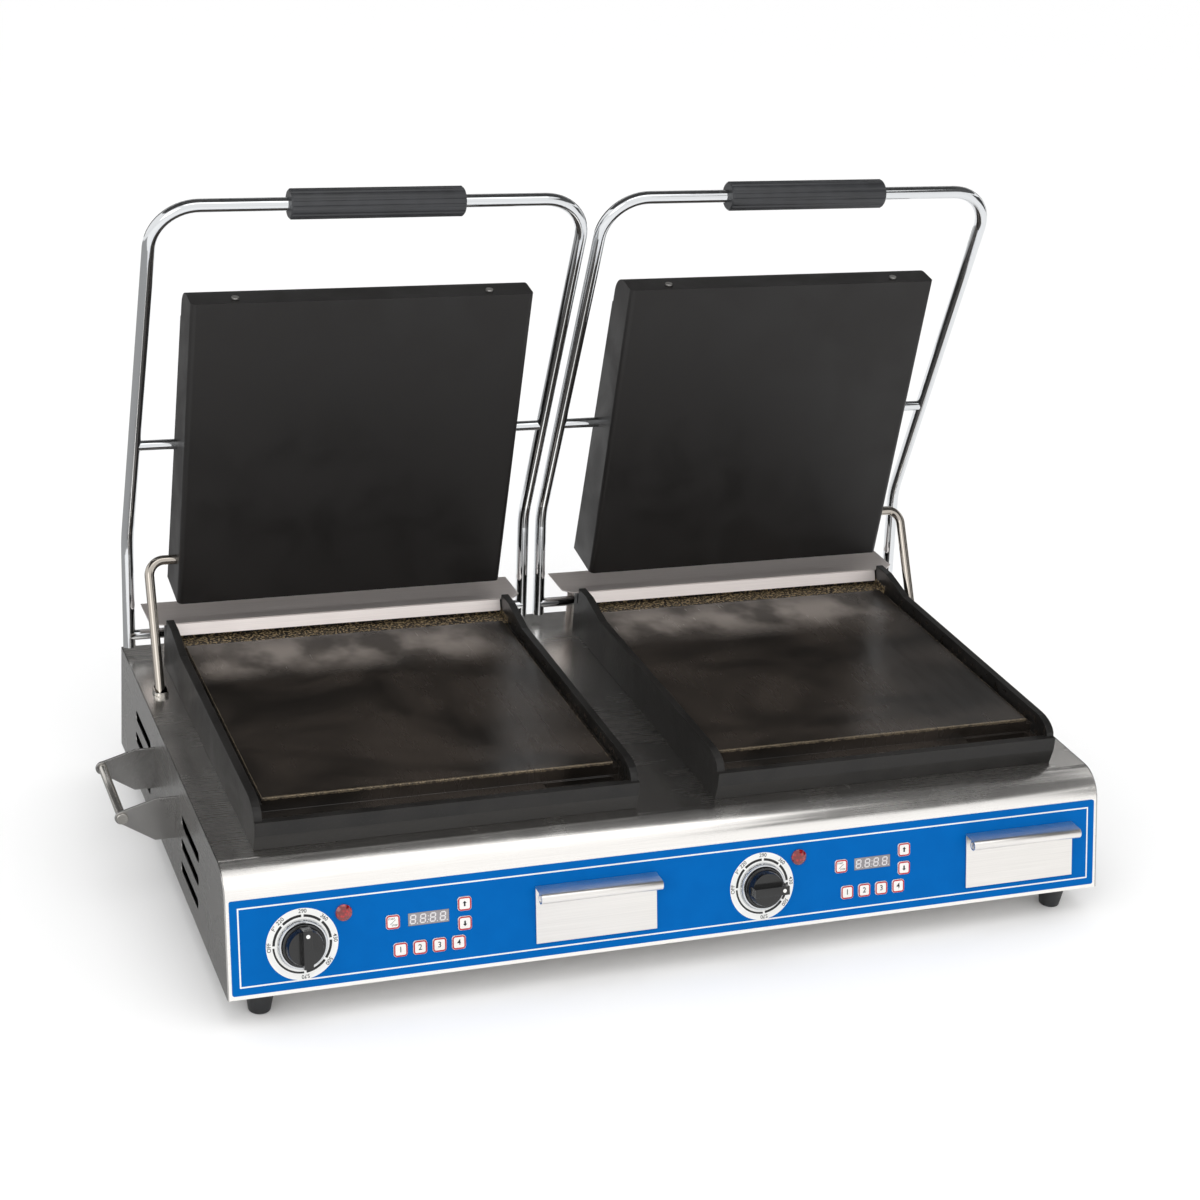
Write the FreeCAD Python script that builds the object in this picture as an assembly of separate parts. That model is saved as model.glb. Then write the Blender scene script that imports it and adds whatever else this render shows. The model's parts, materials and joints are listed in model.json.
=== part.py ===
import FreeCAD, Part
import math
import os

# Double panini press: two hinged cast-iron grills side by side on one stainless body.
# Building frame, millimetres: X runs across the body from its middle, Y runs back from the
# front bottom edge, Z runs up from the bottom of the sheet-metal body. At the end every
# piece is moved together, so that the origin is the bottom centre of the whole machine.

V = FreeCAD.Vector
X_AXIS, Y_AXIS, Z_AXIS = V(1, 0, 0), V(0, 1, 0), V(0, 0, 1)

# ---------------------------------------------------------------- driving sizes: body
BODY_WIDTH = 840.0          # across both presses
BODY_DEPTH = 486.0          # front bottom edge to back panel
BODY_HEIGHT = 106.4         # sheet-metal body without its feet
SHEET = 1.2                 # stainless sheet thickness
SLOPE_DEG = 14.4            # how far the front leans back
BEND_RADIUS = 30.7          # front to deck bend
FLANGE = 46.0               # bottom flanges under the base plate
PRESS_PITCH = 424.8         # left press centre to right press centre
FOOT_HEIGHT = 27.0
FOOT_TOP_RADIUS = 13.75
FOOT_TIP_RADIUS = 9.5
FOOT_INSET_X = 33.0         # foot centre from the side
FOOT_INSET_FRONT = 24.0
FOOT_INSET_BACK = 26.0
STUD_RADIUS = 3.0           # foot stud
LOUVRE_LENGTH, LOUVRE_HEIGHT = 74.0, 10.0
LOUVRE_ROWS = (24.0, 47.0, 70.0)        # slot heights on the side panels
LOUVRE_COLUMNS = (156.0, 372.0)         # slot centres from the front

# ---------------------------------------------------------------- clearances
RUN_FIT = 0.05              # radial, a pin or shaft that turns
SLIDE_GAP = 0.5             # sliding or pressing pieces, per side
HOLE_GAP = 0.2              # fixed piece in its hole, per side

# ---------------------------------------------------------------- driving sizes: controls
OVERLAY_THICK = 0.6
OVERLAY_INSET = 4.0
OVERLAY_LOW = 3.5           # lower edge, measured up the slope
KNOB_X, KNOB_UP = -142.5, 42.2          # places on the slope: from press centre, up the slope
LAMP_X, LAMP_UP = -106.0, 65.3
DISPLAY_X, DISPLAY_UP = -31.2, 51.5
DISPLAY_WIDTH, DISPLAY_HEIGHT = 36.5, 11.2
START_X, START_UP = -63.3, 51.6
BUTTON_SIZE, BUTTON_CORNER = 12.4, 2.8
ARROW_X, DOWN_ARROW_UP = 1.0, 42.8
UP_ARROW_UP = DOWN_ARROW_UP + BUTTON_SIZE + 5.0
PRESET_X, PRESET_PITCH = -57.1, BUTTON_SIZE + 5.0
PRESET_UP = DOWN_ARROW_UP - BUTTON_SIZE - 4.1
BUTTON_PROUD = 1.0
BUTTON_TRAVEL = 0.8
BEZEL_RADIUS, BEZEL_WALL, BEZEL_HEIGHT = 22.0, 3.0, 5.0
KNOB_RADIUS, KNOB_SKIRT, KNOB_HEIGHT = 18.5, 8.0, 22.0
BEZEL_FLOOR = 1.0
SPINDLE_RADIUS, SPINDLE_HOLE = 3.0, 5.0
LAMP_RADIUS, LAMP_BODY_RADIUS = 7.2, 5.0
BOARD_DEPTH = 10.0          # timer board behind the sheet surface
BOARD_THICK = 1.6

# ---------------------------------------------------------------- driving sizes: drip tray
TRAY_X = 122.5              # tray centre from press centre
TRAY_WIDTH = 113.7          # face width
TRAY_LOW, TRAY_TOP = 16.0, 66.0         # face bottom and top heights
TRAY_LENGTH = 250.0
TRAY_INSET = 3.0            # box narrower than its face, per side
TRAY_BOX_LOW, TRAY_BOX_TOP = 19.0, 54.0
TRAY_LIP = 13.4             # lip reach in front of the face
TRAY_ROLL = 4.6             # rolled edge radius

# ---------------------------------------------------------------- driving sizes: lower plate
PLATE_HALF = 174.2          # outer half width
PLATE_FRONT, PLATE_BACK = 57.0, 441.0
COOK_HEIGHT = 139.5         # cooking face height
LIP_HEIGHT, LIP_THICK = 134.3, 8.0
WALL_HEIGHT, WALL_REAR_HEIGHT = 147.8, 156.5
WALL_HALF_INNER = 166.8
WALL_CURVE = 26.0           # front rounding of the side walls
WALL_RISE_FROM, WALL_RISE_TO = 366.0, 408.0
PLATEAU_FRONT, PLATEAU_BACK = 90.0, 406.0
PLATEAU_HALF = 160.5
TROUGH_DEPTH, GROOVE_DEPTH, LEDGE_DEPTH = 13.0, 5.0, 3.0
RECESS_FROM, RECESS_TO, RECESS_DEPTH = 94.0, 160.0, 5.0
DRAIN_RADIUS = 6.0
CAST_FACE, CAST_WALL = 14.0, 9.0        # iron thickness over and round the hollow
UNDERCUT_REACH, UNDERCUT_HEIGHT = 4.0, 15.0

# ---------------------------------------------------------------- driving sizes: guard and hinge
GUARD_FRONT, GUARD_BACK = 431.6, 484.0
GUARD_HEIGHT = 152.2
GUARD_HALF, STRIP_HALF = 189.0, 165.8
STRIP_DROP, STRIP_LEAN = 11.6, 4.4      # the strip slants forward under the guard's edge
GUARD_CHAMFER = 9.0
HINGE_Y, HINGE_Z = 468.0, 126.6
SHAFT_RADIUS = 5.0
BEARING_X, BEARING_WIDTH, BEARING_DEPTH = 150.0, 22.0, 30.0
BEARING_WALL = 8.0
SPRING_WIRE, SPRING_TURNS, SPRING_X = 1.6, 7, 96.0

# ---------------------------------------------------------------- driving sizes: handle hoop
HOOP_HALF = 202.8           # arm centre from press centre
HOOP_ROD = 6.0              # radius of the bent bar
HOOP_TAIL = 12.0            # bar left below the shaft
HOOP_BEND_Y, HOOP_BEND_Z = 480.0, 222.0
HOOP_TOP_Y, HOOP_TOP_Z = 364.0, 582.7
HOOP_CORNER, HOOP_ELBOW = 42.0, 60.0
GRIP_LENGTH, GRIP_RADIUS, GRIP_FLUTES = 162.0, 13.8, 12
GRIP_FLUTE_RADIUS, GRIP_FLUTE_OUT, GRIP_CHAMFER = 2.2, 1.2, 1.6

# ---------------------------------------------------------------- driving sizes: upper plate
UPPER_Y, UPPER_Z = 430.5, 172.5         # bottom edge of its face, opened
UPPER_TILT_DEG = 8.6                    # leaning forward, opened
UPPER_HALF, UPPER_LENGTH = 163.2, 317.8
UPPER_NOTCH_THICK, UPPER_LOW_THICK = 41.0, 50.0
UPPER_TOP_RADIUS = 19.0                    # rounded back of the top edge
UPPER_NOTCH = 31.0                      # notch below the top edge
UPPER_EDGE = 5.0                        # rounded side edges
COVER_THICK = 1.5
PIN_RADIUS = 4.9
PIN_UP, PIN_BACK = 155.6, 37.7          # pivot in the plate: up from its edge, back from its face
BOSS_WALL = 5.0
BOSS_LENGTH = 22.0
SCREW_RADIUS, SCREW_HEAD, SCREW_SHANK = 3.6, 2.2, 1.6
TOP_SCREW_IN, TOP_SCREW_BACK = 42.0, 9.5   # top screws: in from the sides, back from the face

# ---------------------------------------------------------------- driving sizes: wiring tube
TUBE_RADIUS = 4.6
TUBE_OFFSET = 190.3         # from press centre
TUBE_Y, TUBE_Z = 440.0, 216.0           # where it enters the upper plate, opened
TUBE_BEND = 15.0
TUBE_TAIL = 12.0            # length below the deck, opened
TUBE_INSERT = 12.0          # length inside the upper plate
COLLAR_Y = 376.5
COLLAR_WALL, COLLAR_HEIGHT = 1.6, 4.0
COLLAR_SWING = 3.6          # extra room fore and aft

# ---------------------------------------------------------------- driving sizes: carry handles
BRACKET_PLACES = (220.0, 318.0)
BRACKET_THICK = 2.5
BRACKET_LOW, BRACKET_TOP = 37.0, 79.0
BRACKET_FLAT = 18.0         # parallel part before the taper
BRACKET_TIP_HALF = 6.5
ROD_REACH, ROD_HEIGHT, ROD_RADIUS = 48.0, 63.0, 4.0
ROD_HEAD_RADIUS, ROD_HEAD = 5.2, 2.4
TAB_DEPTH = 14.0            # inner tab that holds the bracket

# ---------------------------------------------------------------- driving sizes: wiring inlet
GLAND_X, GLAND_Z = 330.0, 50.0
GLAND_RADIUS, GLAND_BORE, GLAND_REACH = 11.0, 5.0, 16.0
GLAND_THREAD = 8.0

# ---------------------------------------------------------------- worked-out values
HALF_WIDTH = BODY_WIDTH / 2
SLOPE = math.radians(SLOPE_DEG)
UP_SLOPE = V(0, math.sin(SLOPE), math.cos(SLOPE))
OUT_OF_SLOPE = V(0, -math.cos(SLOPE), math.sin(SLOPE))
BEND_TANGENT = BEND_RADIUS * math.tan((math.pi / 2 - SLOPE) / 2)
OVERLAY_TOP = BODY_HEIGHT / math.cos(SLOPE) - BEND_TANGENT
OVERLAY_HALF = HALF_WIDTH - OVERLAY_INSET
DECK_UNDER = BODY_HEIGHT - SHEET
PRESSES = (("left", -PRESS_PITCH / 2, -1), ("right", PRESS_PITCH / 2, 1))
SIDES = (("left", -1), ("right", 1))
CLEAR = 1.0                 # overrun of cutting shapes
BOARD_TOP = -BOARD_DEPTH + BOARD_THICK
UPPER_TILT = math.radians(UPPER_TILT_DEG)
UPPER_UP = V(0, -math.sin(UPPER_TILT), math.cos(UPPER_TILT))
UPPER_IN = V(0, math.cos(UPPER_TILT), math.sin(UPPER_TILT))
UPPER_FOOT = V(0, UPPER_Y, UPPER_Z)
PIN_POINT = UPPER_FOOT + UPPER_UP * PIN_UP + UPPER_IN * PIN_BACK


# ---------------------------------------------------------------- small shape helpers
def box(x0, x1, y0, y1, z0, z1):
    """A block between two corners."""
    return Part.makeBox(x1 - x0, y1 - y0, z1 - z0, V(x0, y0, z0))


def rod(start, end, radius):
    """A round bar from one point to another."""
    return Part.makeCylinder(radius, (end - start).Length, start, end - start)


def fuse(shapes):
    """All the shapes joined into one."""
    return shapes[0].multiFuse(shapes[1:]).removeSplitter() if len(shapes) > 1 else shapes[0]


def cut(shape, cutters):
    """The shape with every cutter taken away."""
    return shape.cut(Part.makeCompound(cutters))


def prism_yz(points, x0, x1):
    """A side outline, as (y, z) corners, stretched from x0 to x1."""
    corners = [V(x0, y, z) for y, z in points]
    face = Part.Face(Part.makePolygon(corners + corners[:1]))
    return face.extrude(V(x1 - x0, 0, 0))


def prism_xz(points, y0, y1):
    """A front outline, as (x, z) corners, stretched from y0 to y1."""
    corners = [V(x, y0, z) for x, z in points]
    face = Part.Face(Part.makePolygon(corners + corners[:1]))
    return face.extrude(V(0, y1 - y0, 0))


def prism_xy(points, z0, z1):
    """A plan outline, as (x, y) corners, stretched from z0 to z1."""
    corners = [V(x, y, z0) for x, y in points]
    face = Part.Face(Part.makePolygon(corners + corners[:1]))
    return face.extrude(V(0, 0, z1 - z0))


def pad(width, height, corner, z0, z1):
    """A rounded rectangle about the local origin, from z0 to z1."""
    block = box(-width / 2, width / 2, -height / 2, height / 2, z0, z1)
    uprights = [e for e in block.Edges if abs(e.BoundBox.ZLength - (z1 - z0)) < 1e-6]
    return block.makeFillet(corner, uprights)


def disc(radius, z0, z1):
    """A round piece about the local Z axis, from z0 to z1."""
    return Part.makeCylinder(radius, z1 - z0, V(0, 0, z0))


def obround(length, height, x0, x1, y, z):
    """A slot with round ends, long along Y, cut along X."""
    straight = length - height
    return fuse([box(x0, x1, y - straight / 2, y + straight / 2, z - height / 2, z + height / 2)]
                + [rod(V(x0, y + s * straight / 2, z), V(x1, y + s * straight / 2, z), height / 2)
                   for s in (-1, 1)])


def bent_path(points, radii):
    """Straight runs through the points, with a tangent arc of the given radius at each turn."""
    edges = []
    last = points[0]
    for before, corner, after, radius in zip(points, points[1:], points[2:], radii):
        to_start = (before - corner).normalize()
        to_end = (after - corner).normalize()
        half = to_start.getAngle(to_end) / 2
        reach = radius / math.tan(half)
        start = corner + to_start * reach
        end = corner + to_end * reach
        middle = corner + (to_start + to_end).normalize() * (radius / math.sin(half) - radius)
        edges += [Part.LineSegment(last, start).toShape(), Part.Arc(start, middle, end).toShape()]
        last = end
    edges.append(Part.LineSegment(last, points[-1]).toShape())
    return Part.Wire(edges)


def bent_bar(points, radii, radius):
    """A round bar along a bent path."""
    circle = Part.Wire(Part.makeCircle(radius, points[0], points[1] - points[0]))
    return bent_path(points, radii).makePipeShell([circle], True, True)


def on_slope(shape, x, up):
    """Places a local piece (X across, Y up the slope, Z outward) on the slanted front."""
    place = FreeCAD.Matrix(1, 0, 0, x,
                           0, UP_SLOPE.y, OUT_OF_SLOPE.y, UP_SLOPE.y * up,
                           0, UP_SLOPE.z, OUT_OF_SLOPE.z, UP_SLOPE.z * up,
                           0, 0, 0, 1)
    return placed(shape, place)


def placed(shape, matrix):
    """A copy of the shape moved by a rigid matrix."""
    copy = shape.copy()
    copy.Placement = FreeCAD.Placement(matrix).multiply(copy.Placement)
    return copy


def moved(shape, x):
    """A copy of the shape shifted across the body."""
    return placed(shape, FreeCAD.Placement(V(x, 0, 0), FreeCAD.Rotation()).toMatrix())


def on_upper(shape, x):
    """Places a local piece (Y back from the grill face, Z up it) on an opened upper plate."""
    place = FreeCAD.Placement(V(x, UPPER_Y, UPPER_Z), FreeCAD.Rotation(X_AXIS, UPPER_TILT_DEG))
    return placed(shape, place.toMatrix())


def tray_front(height):
    """How far back the outer face of the overlay lies at a height."""
    return height * math.tan(SLOPE) - OVERLAY_THICK / math.cos(SLOPE)


# ---------------------------------------------------------------- body
def body_outline(inset, back, low, x0, x1):
    """The side outline of the body, drawn inset by a distance, stretched from x0 to x1."""
    top = BODY_HEIGHT - inset
    corner = V(x0, inset / math.cos(SLOPE) + top * math.tan(SLOPE), top)
    radius = BEND_RADIUS - inset
    reach = radius * math.tan((math.pi / 2 - SLOPE) / 2)
    start = corner - UP_SLOPE * reach
    end = corner + Y_AXIS * reach
    centre = end - Z_AXIS * radius
    middle = centre + (corner - centre).normalize() * radius
    foot = V(x0, inset / math.cos(SLOPE) + low * math.tan(SLOPE), low)
    rear_top, rear_low = V(x0, back, top), V(x0, back, low)
    edges = [Part.LineSegment(foot, start).toShape(), Part.Arc(start, middle, end).toShape(),
             Part.LineSegment(end, rear_top).toShape(),
             Part.LineSegment(rear_top, rear_low).toShape(),
             Part.LineSegment(rear_low, foot).toShape()]
    return Part.Face(Part.Wire(edges)).extrude(V(x1 - x0, 0, 0))


def foot_places():
    """The four foot centres on the underside."""
    x = HALF_WIDTH - FOOT_INSET_X
    return [(sx * x, y) for sx in (-1, 1)
            for y in (FOOT_INSET_FRONT, BODY_DEPTH - FOOT_INSET_BACK)]


def stud_holes(z0, z1):
    """Holes for the foot studs."""
    return [rod(V(x, y, z0), V(x, y, z1), STUD_RADIUS + HOLE_GAP) for x, y in foot_places()]


def button_places():
    """Every timer button: its name, place across and place up the slope."""
    presets = [("preset_%d" % (i + 1), PRESET_X + i * PRESET_PITCH, PRESET_UP) for i in range(4)]
    return [("start", START_X, START_UP), ("up", ARROW_X, UP_ARROW_UP),
            ("down", ARROW_X, DOWN_ARROW_UP)] + presets


def control_openings(x):
    """Everything cut through the slanted front for one press."""
    low, high = -SHEET - CLEAR, OVERLAY_THICK + CLEAR
    openings = [on_slope(disc(SPINDLE_HOLE, low, high), x + KNOB_X, KNOB_UP),
                on_slope(disc(LAMP_BODY_RADIUS + HOLE_GAP, low, high), x + LAMP_X, LAMP_UP),
                on_slope(box(-DISPLAY_WIDTH / 2 - HOLE_GAP, DISPLAY_WIDTH / 2 + HOLE_GAP,
                             -DISPLAY_HEIGHT / 2 - HOLE_GAP, DISPLAY_HEIGHT / 2 + HOLE_GAP,
                             low, high), x + DISPLAY_X, DISPLAY_UP)]
    hole = pad(BUTTON_SIZE + 2 * HOLE_GAP, BUTTON_SIZE + 2 * HOLE_GAP, BUTTON_CORNER + HOLE_GAP,
               low, high)
    openings += [on_slope(hole, x + bx, up) for _, bx, up in button_places()]
    half = TRAY_WIDTH / 2 - TRAY_INSET + SLIDE_GAP
    openings.append(box(x + TRAY_X - half, x + TRAY_X + half, -BODY_HEIGHT, BODY_HEIGHT,
                        TRAY_BOX_LOW - SLIDE_GAP, TRAY_BOX_TOP + SLIDE_GAP))
    return openings


def deck_openings(x, side):
    """Everything cut through the deck for one press."""
    half = PLATE_HALF - CAST_WALL
    tube_x = x + side * TUBE_OFFSET
    half_slot = TUBE_RADIUS + COLLAR_SWING
    return [box(x - half, x + half, PLATE_FRONT + CAST_WALL, PLATE_BACK - CAST_WALL,
                DECK_UNDER - CLEAR, BODY_HEIGHT + CLEAR),
            box(tube_x - TUBE_RADIUS - SLIDE_GAP, tube_x + TUBE_RADIUS + SLIDE_GAP,
                COLLAR_Y - half_slot, COLLAR_Y + half_slot, DECK_UNDER - CLEAR,
                BODY_HEIGHT + CLEAR)]


def body_wrap():
    """Front, bend and deck in one bent sheet, with the front bottom flange."""
    end = HALF_WIDTH - SHEET
    skin = body_outline(0, BODY_DEPTH - SHEET, 0, -end, end).cut(
        body_outline(SHEET, BODY_DEPTH + CLEAR, -CLEAR, -end - CLEAR, end + CLEAR))
    flange = box(-end, end, SHEET, FLANGE, 0, SHEET)
    cutters = stud_holes(-CLEAR, SHEET + CLEAR)
    for _, x, side in PRESSES:
        cutters += control_openings(x) + deck_openings(x, side)
    return cut(fuse([skin, flange]), cutters)


def side_panel(side):
    """Flat end panel with louvre slots and the two bracket slots."""
    x0, x1 = sorted((side * HALF_WIDTH, side * (HALF_WIDTH - SHEET)))
    panel = body_outline(0, BODY_DEPTH, 0, x0, x1)
    cutters = [obround(LOUVRE_LENGTH, LOUVRE_HEIGHT, x0 - CLEAR, x1 + CLEAR, y, z)
               for y in LOUVRE_COLUMNS for z in LOUVRE_ROWS]
    cutters += [box(x0 - CLEAR, x1 + CLEAR, y - BRACKET_THICK / 2 - HOLE_GAP,
                    y + BRACKET_THICK / 2 + HOLE_GAP, BRACKET_LOW - 4 * HOLE_GAP,
                    BRACKET_TOP + 4 * HOLE_GAP) for y in BRACKET_PLACES]
    return cut(panel, cutters)


def back_panel():
    """Back sheet with its bottom flange, vent slots and the inlet hole."""
    end = HALF_WIDTH - SHEET
    sheet = box(-end, end, BODY_DEPTH - SHEET, BODY_DEPTH, 0, BODY_HEIGHT)
    flange = box(-end, end, BODY_DEPTH - FLANGE, BODY_DEPTH - SHEET, 0, SHEET)
    y0, y1 = BODY_DEPTH - SHEET - CLEAR, BODY_DEPTH + CLEAR
    slot_pitch, slot_count, slot_width, slot_low, slot_high = 14.0, 9, 5.0, 34.0, 84.0
    cutters = stud_holes(-CLEAR, SHEET + CLEAR)
    cutters.append(rod(V(GLAND_X, y0, GLAND_Z), V(GLAND_X, y1, GLAND_Z),
                       GLAND_THREAD + HOLE_GAP))
    for _, x, _ in PRESSES:
        first = x - slot_pitch * (slot_count - 1) / 2
        cutters += [box(first + i * slot_pitch - slot_width / 2,
                        first + i * slot_pitch + slot_width / 2, y0, y1, slot_low, slot_high)
                    for i in range(slot_count)]
    return cut(fuse([sheet, flange]), cutters)


def base_plate():
    """Floor sheet lying on the two bottom flanges."""
    end = HALF_WIDTH - SHEET - SLIDE_GAP
    front = SHEET / math.cos(SLOPE) + 2 * SHEET * math.tan(SLOPE) + SLIDE_GAP
    sheet = box(-end, end, front, BODY_DEPTH - SHEET - SLIDE_GAP, SHEET, 2 * SHEET)
    cutters = stud_holes(0, 3 * SHEET)
    vent_length, vent_width, vent_pitch, vent_count = 60.0, 5.0, 16.0, 6
    for _, x, _ in PRESSES:
        for row in range(vent_count):
            y = BODY_DEPTH / 2 + row * vent_pitch
            cutters.append(box(x - vent_length / 2, x + vent_length / 2, y, y + vent_width,
                               0, 3 * SHEET))
    return cut(sheet, cutters)


def feet():
    """Four tapered rubber feet with studs."""
    stud_top = 4 * SHEET
    recess_radius, recess_depth = 4.5, 6.0
    shapes = []
    for x, y in foot_places():
        cone = Part.makeCone(FOOT_TIP_RADIUS, FOOT_TOP_RADIUS, FOOT_HEIGHT, V(x, y, -FOOT_HEIGHT))
        cone = cone.cut(rod(V(x, y, -FOOT_HEIGHT - CLEAR), V(x, y, recess_depth - FOOT_HEIGHT),
                            recess_radius))
        shapes.append(fuse([cone, rod(V(x, y, 0), V(x, y, stud_top), STUD_RADIUS)]))
    return Part.makeCompound(shapes)


# ---------------------------------------------------------------- controls
def control_overlay():
    """The printed film on the slanted front."""
    width, height = 2 * OVERLAY_HALF, OVERLAY_TOP - OVERLAY_LOW
    film = on_slope(pad(width, height, 2.0, 0, OVERLAY_THICK), 0, OVERLAY_LOW + height / 2)
    return cut(film, [c for _, x, _ in PRESSES for c in control_openings(x)])


def knob_bezel(x):
    """Bright ring round the knob, with a floor that the spindle passes."""
    low = OVERLAY_THICK
    taper = 1.2
    ring = Part.makeCone(BEZEL_RADIUS, BEZEL_RADIUS - taper, BEZEL_HEIGHT, V(0, 0, low))
    bore = disc(BEZEL_RADIUS - BEZEL_WALL, low + BEZEL_FLOOR, low + BEZEL_HEIGHT + CLEAR)
    hole = disc(SPINDLE_HOLE, low - CLEAR, low + 2 * BEZEL_FLOOR)
    return on_slope(cut(ring, [bore, hole]), x + KNOB_X, KNOB_UP)


def thermostat_knob(x, turned_deg):
    """Round knob with a raised pointer bar, bored for the spindle."""
    low = OVERLAY_THICK + BEZEL_FLOOR + SLIDE_GAP
    skirt_top = OVERLAY_THICK + KNOB_SKIRT
    ledge, waist, drum_top = 1.5, 15.0, OVERLAY_THICK + 14.0
    bar_width, bar_tip, bar_tail, bore_roof = 8.0, 1.0, 2.5, 1.0
    top = OVERLAY_THICK + KNOB_HEIGHT
    skirt = disc(KNOB_RADIUS, low, skirt_top)
    drum = Part.makeCone(KNOB_RADIUS - ledge, waist, drum_top - skirt_top, V(0, 0, skirt_top))
    bar = box(-bar_width / 2, bar_width / 2, bar_tail - KNOB_RADIUS, KNOB_RADIUS - bar_tip,
              skirt_top, top)
    bore = disc(SPINDLE_RADIUS + RUN_FIT, low - CLEAR, drum_top - bore_roof)
    knob = cut(fuse([skirt, drum, bar]), [bore])
    knob.rotate(V(0, 0, 0), Z_AXIS, turned_deg)
    return on_slope(knob, x + KNOB_X, KNOB_UP)


def thermostats():
    """Thermostat bodies behind the front, with their spindles."""
    width, height, depth = 38.0, 30.0, 26.0
    bush, bush_proud, spindle_proud = 4.5, 0.8, 11.0
    shapes = []
    for _, x, _ in PRESSES:
        case = box(-width / 2, width / 2, -height / 2, height / 2, -SHEET - depth, -SHEET)
        neck = disc(bush, -SHEET, OVERLAY_THICK + bush_proud)
        spindle = disc(SPINDLE_RADIUS, OVERLAY_THICK, OVERLAY_THICK + spindle_proud)
        shapes.append(on_slope(fuse([case, neck, spindle]), x + KNOB_X, KNOB_UP))
    return Part.makeCompound(shapes)


def indicator_lamps():
    """Domed red lamps."""
    rim, dome_height, body_depth = 1.2, 2.6, 16.0
    shapes = []
    for _, x, _ in PRESSES:
        rise = OVERLAY_THICK + rim
        radius = (LAMP_RADIUS ** 2 + dome_height ** 2) / (2 * dome_height)
        ball = Part.makeSphere(radius, V(0, 0, rise + dome_height - radius))
        dome = ball.common(disc(LAMP_RADIUS, rise, rise + dome_height + CLEAR))
        lamp = fuse([disc(LAMP_RADIUS, OVERLAY_THICK, rise), dome,
                     disc(LAMP_BODY_RADIUS, -body_depth, OVERLAY_THICK)])
        shapes.append(on_slope(lamp, x + LAMP_X, LAMP_UP))
    return Part.makeCompound(shapes)


def timer_displays():
    """Four-digit display modules standing on the timer boards."""
    set_back = 0.2
    shapes = []
    for _, x, _ in PRESSES:
        module = box(-DISPLAY_WIDTH / 2, DISPLAY_WIDTH / 2, -DISPLAY_HEIGHT / 2,
                     DISPLAY_HEIGHT / 2, BOARD_TOP, OVERLAY_THICK - set_back)
        shapes.append(on_slope(module, x + DISPLAY_X, DISPLAY_UP))
    return Part.makeCompound(shapes)


def timer_boards():
    """Circuit boards on four posts behind the front."""
    margin, post = 14.0, 2.5
    x0, x1 = START_X - margin, ARROW_X + margin
    y0, y1 = PRESET_UP - margin + post, UP_ARROW_UP + margin - post
    shapes = []
    for _, x, _ in PRESSES:
        board = box(x0, x1, y0, y1, -BOARD_DEPTH, BOARD_TOP)
        posts = [Part.makeCylinder(post, BOARD_DEPTH - SHEET, V(px, py, -BOARD_DEPTH))
                 for px in (x0 + post, x1 - post) for py in (y0 + post, y1 - post)]
        shapes.append(on_slope(fuse([board] + posts), x, 0))
    return Part.makeCompound(shapes)


def timer_button(x, across, up):
    """One key cap with its keeper flange and stem."""
    flange, keeper, stem_radius = BUTTON_SIZE + 2.4, 1.0, 2.5
    cap = pad(BUTTON_SIZE, BUTTON_SIZE, BUTTON_CORNER, -SHEET - HOLE_GAP,
              OVERLAY_THICK + BUTTON_PROUD)
    back = box(-flange / 2, flange / 2, -flange / 2, flange / 2,
               -SHEET - HOLE_GAP - keeper, -SHEET - HOLE_GAP)
    stem = disc(stem_radius, BOARD_TOP + BUTTON_TRAVEL + HOLE_GAP, -SHEET - HOLE_GAP - keeper)
    return on_slope(fuse([cap, back, stem]), x + across, up)


# ---------------------------------------------------------------- drip tray
def drip_tray(x):
    """Sheet box with a slanted face and a rolled lip to pull it by."""
    centre = x + TRAY_X
    half = TRAY_WIDTH / 2
    inner = half - TRAY_INSET
    gap = SLIDE_GAP / math.cos(SLOPE)

    def face_y(height):
        return tray_front(height) - gap - SHEET / math.cos(SLOPE)

    back_low = tray_front(TRAY_LOW) - gap
    back_top = tray_front(TRAY_TOP) - gap
    face = prism_yz([(face_y(TRAY_LOW), TRAY_LOW), (face_y(TRAY_TOP), TRAY_TOP),
                     (back_top, TRAY_TOP), (back_low, TRAY_LOW)], centre - half, centre + half)
    lip_front = face_y(TRAY_TOP) - TRAY_LIP
    lip = box(centre - half, centre + half, lip_front, back_top, TRAY_TOP - SHEET, TRAY_TOP)
    roll_axis = TRAY_TOP - TRAY_ROLL
    roll = rod(V(centre - half, lip_front, roll_axis), V(centre + half, lip_front, roll_axis),
               TRAY_ROLL)
    hollow = rod(V(centre - half - CLEAR, lip_front, roll_axis),
                 V(centre + half + CLEAR, lip_front, roll_axis), TRAY_ROLL - SHEET)
    front_low, front_top = back_low - SHEET / 2, tray_front(TRAY_BOX_TOP) - gap - SHEET / 2
    rear = front_low + TRAY_LENGTH
    outer = prism_yz([(tray_front(TRAY_BOX_LOW) - gap - SHEET / 2, TRAY_BOX_LOW),
                      (front_top, TRAY_BOX_TOP), (rear, TRAY_BOX_TOP), (rear, TRAY_BOX_LOW)],
                     centre - inner, centre + inner)
    inside = prism_yz([(tray_front(TRAY_BOX_LOW) - gap, TRAY_BOX_LOW + SHEET),
                       (front_top + SHEET / 2, TRAY_BOX_TOP + CLEAR),
                       (rear - SHEET, TRAY_BOX_TOP + CLEAR), (rear - SHEET, TRAY_BOX_LOW + SHEET)],
                      centre - inner + SHEET, centre + inner - SHEET)
    return fuse([face, lip, roll.cut(hollow), outer.cut(inside)])


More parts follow.
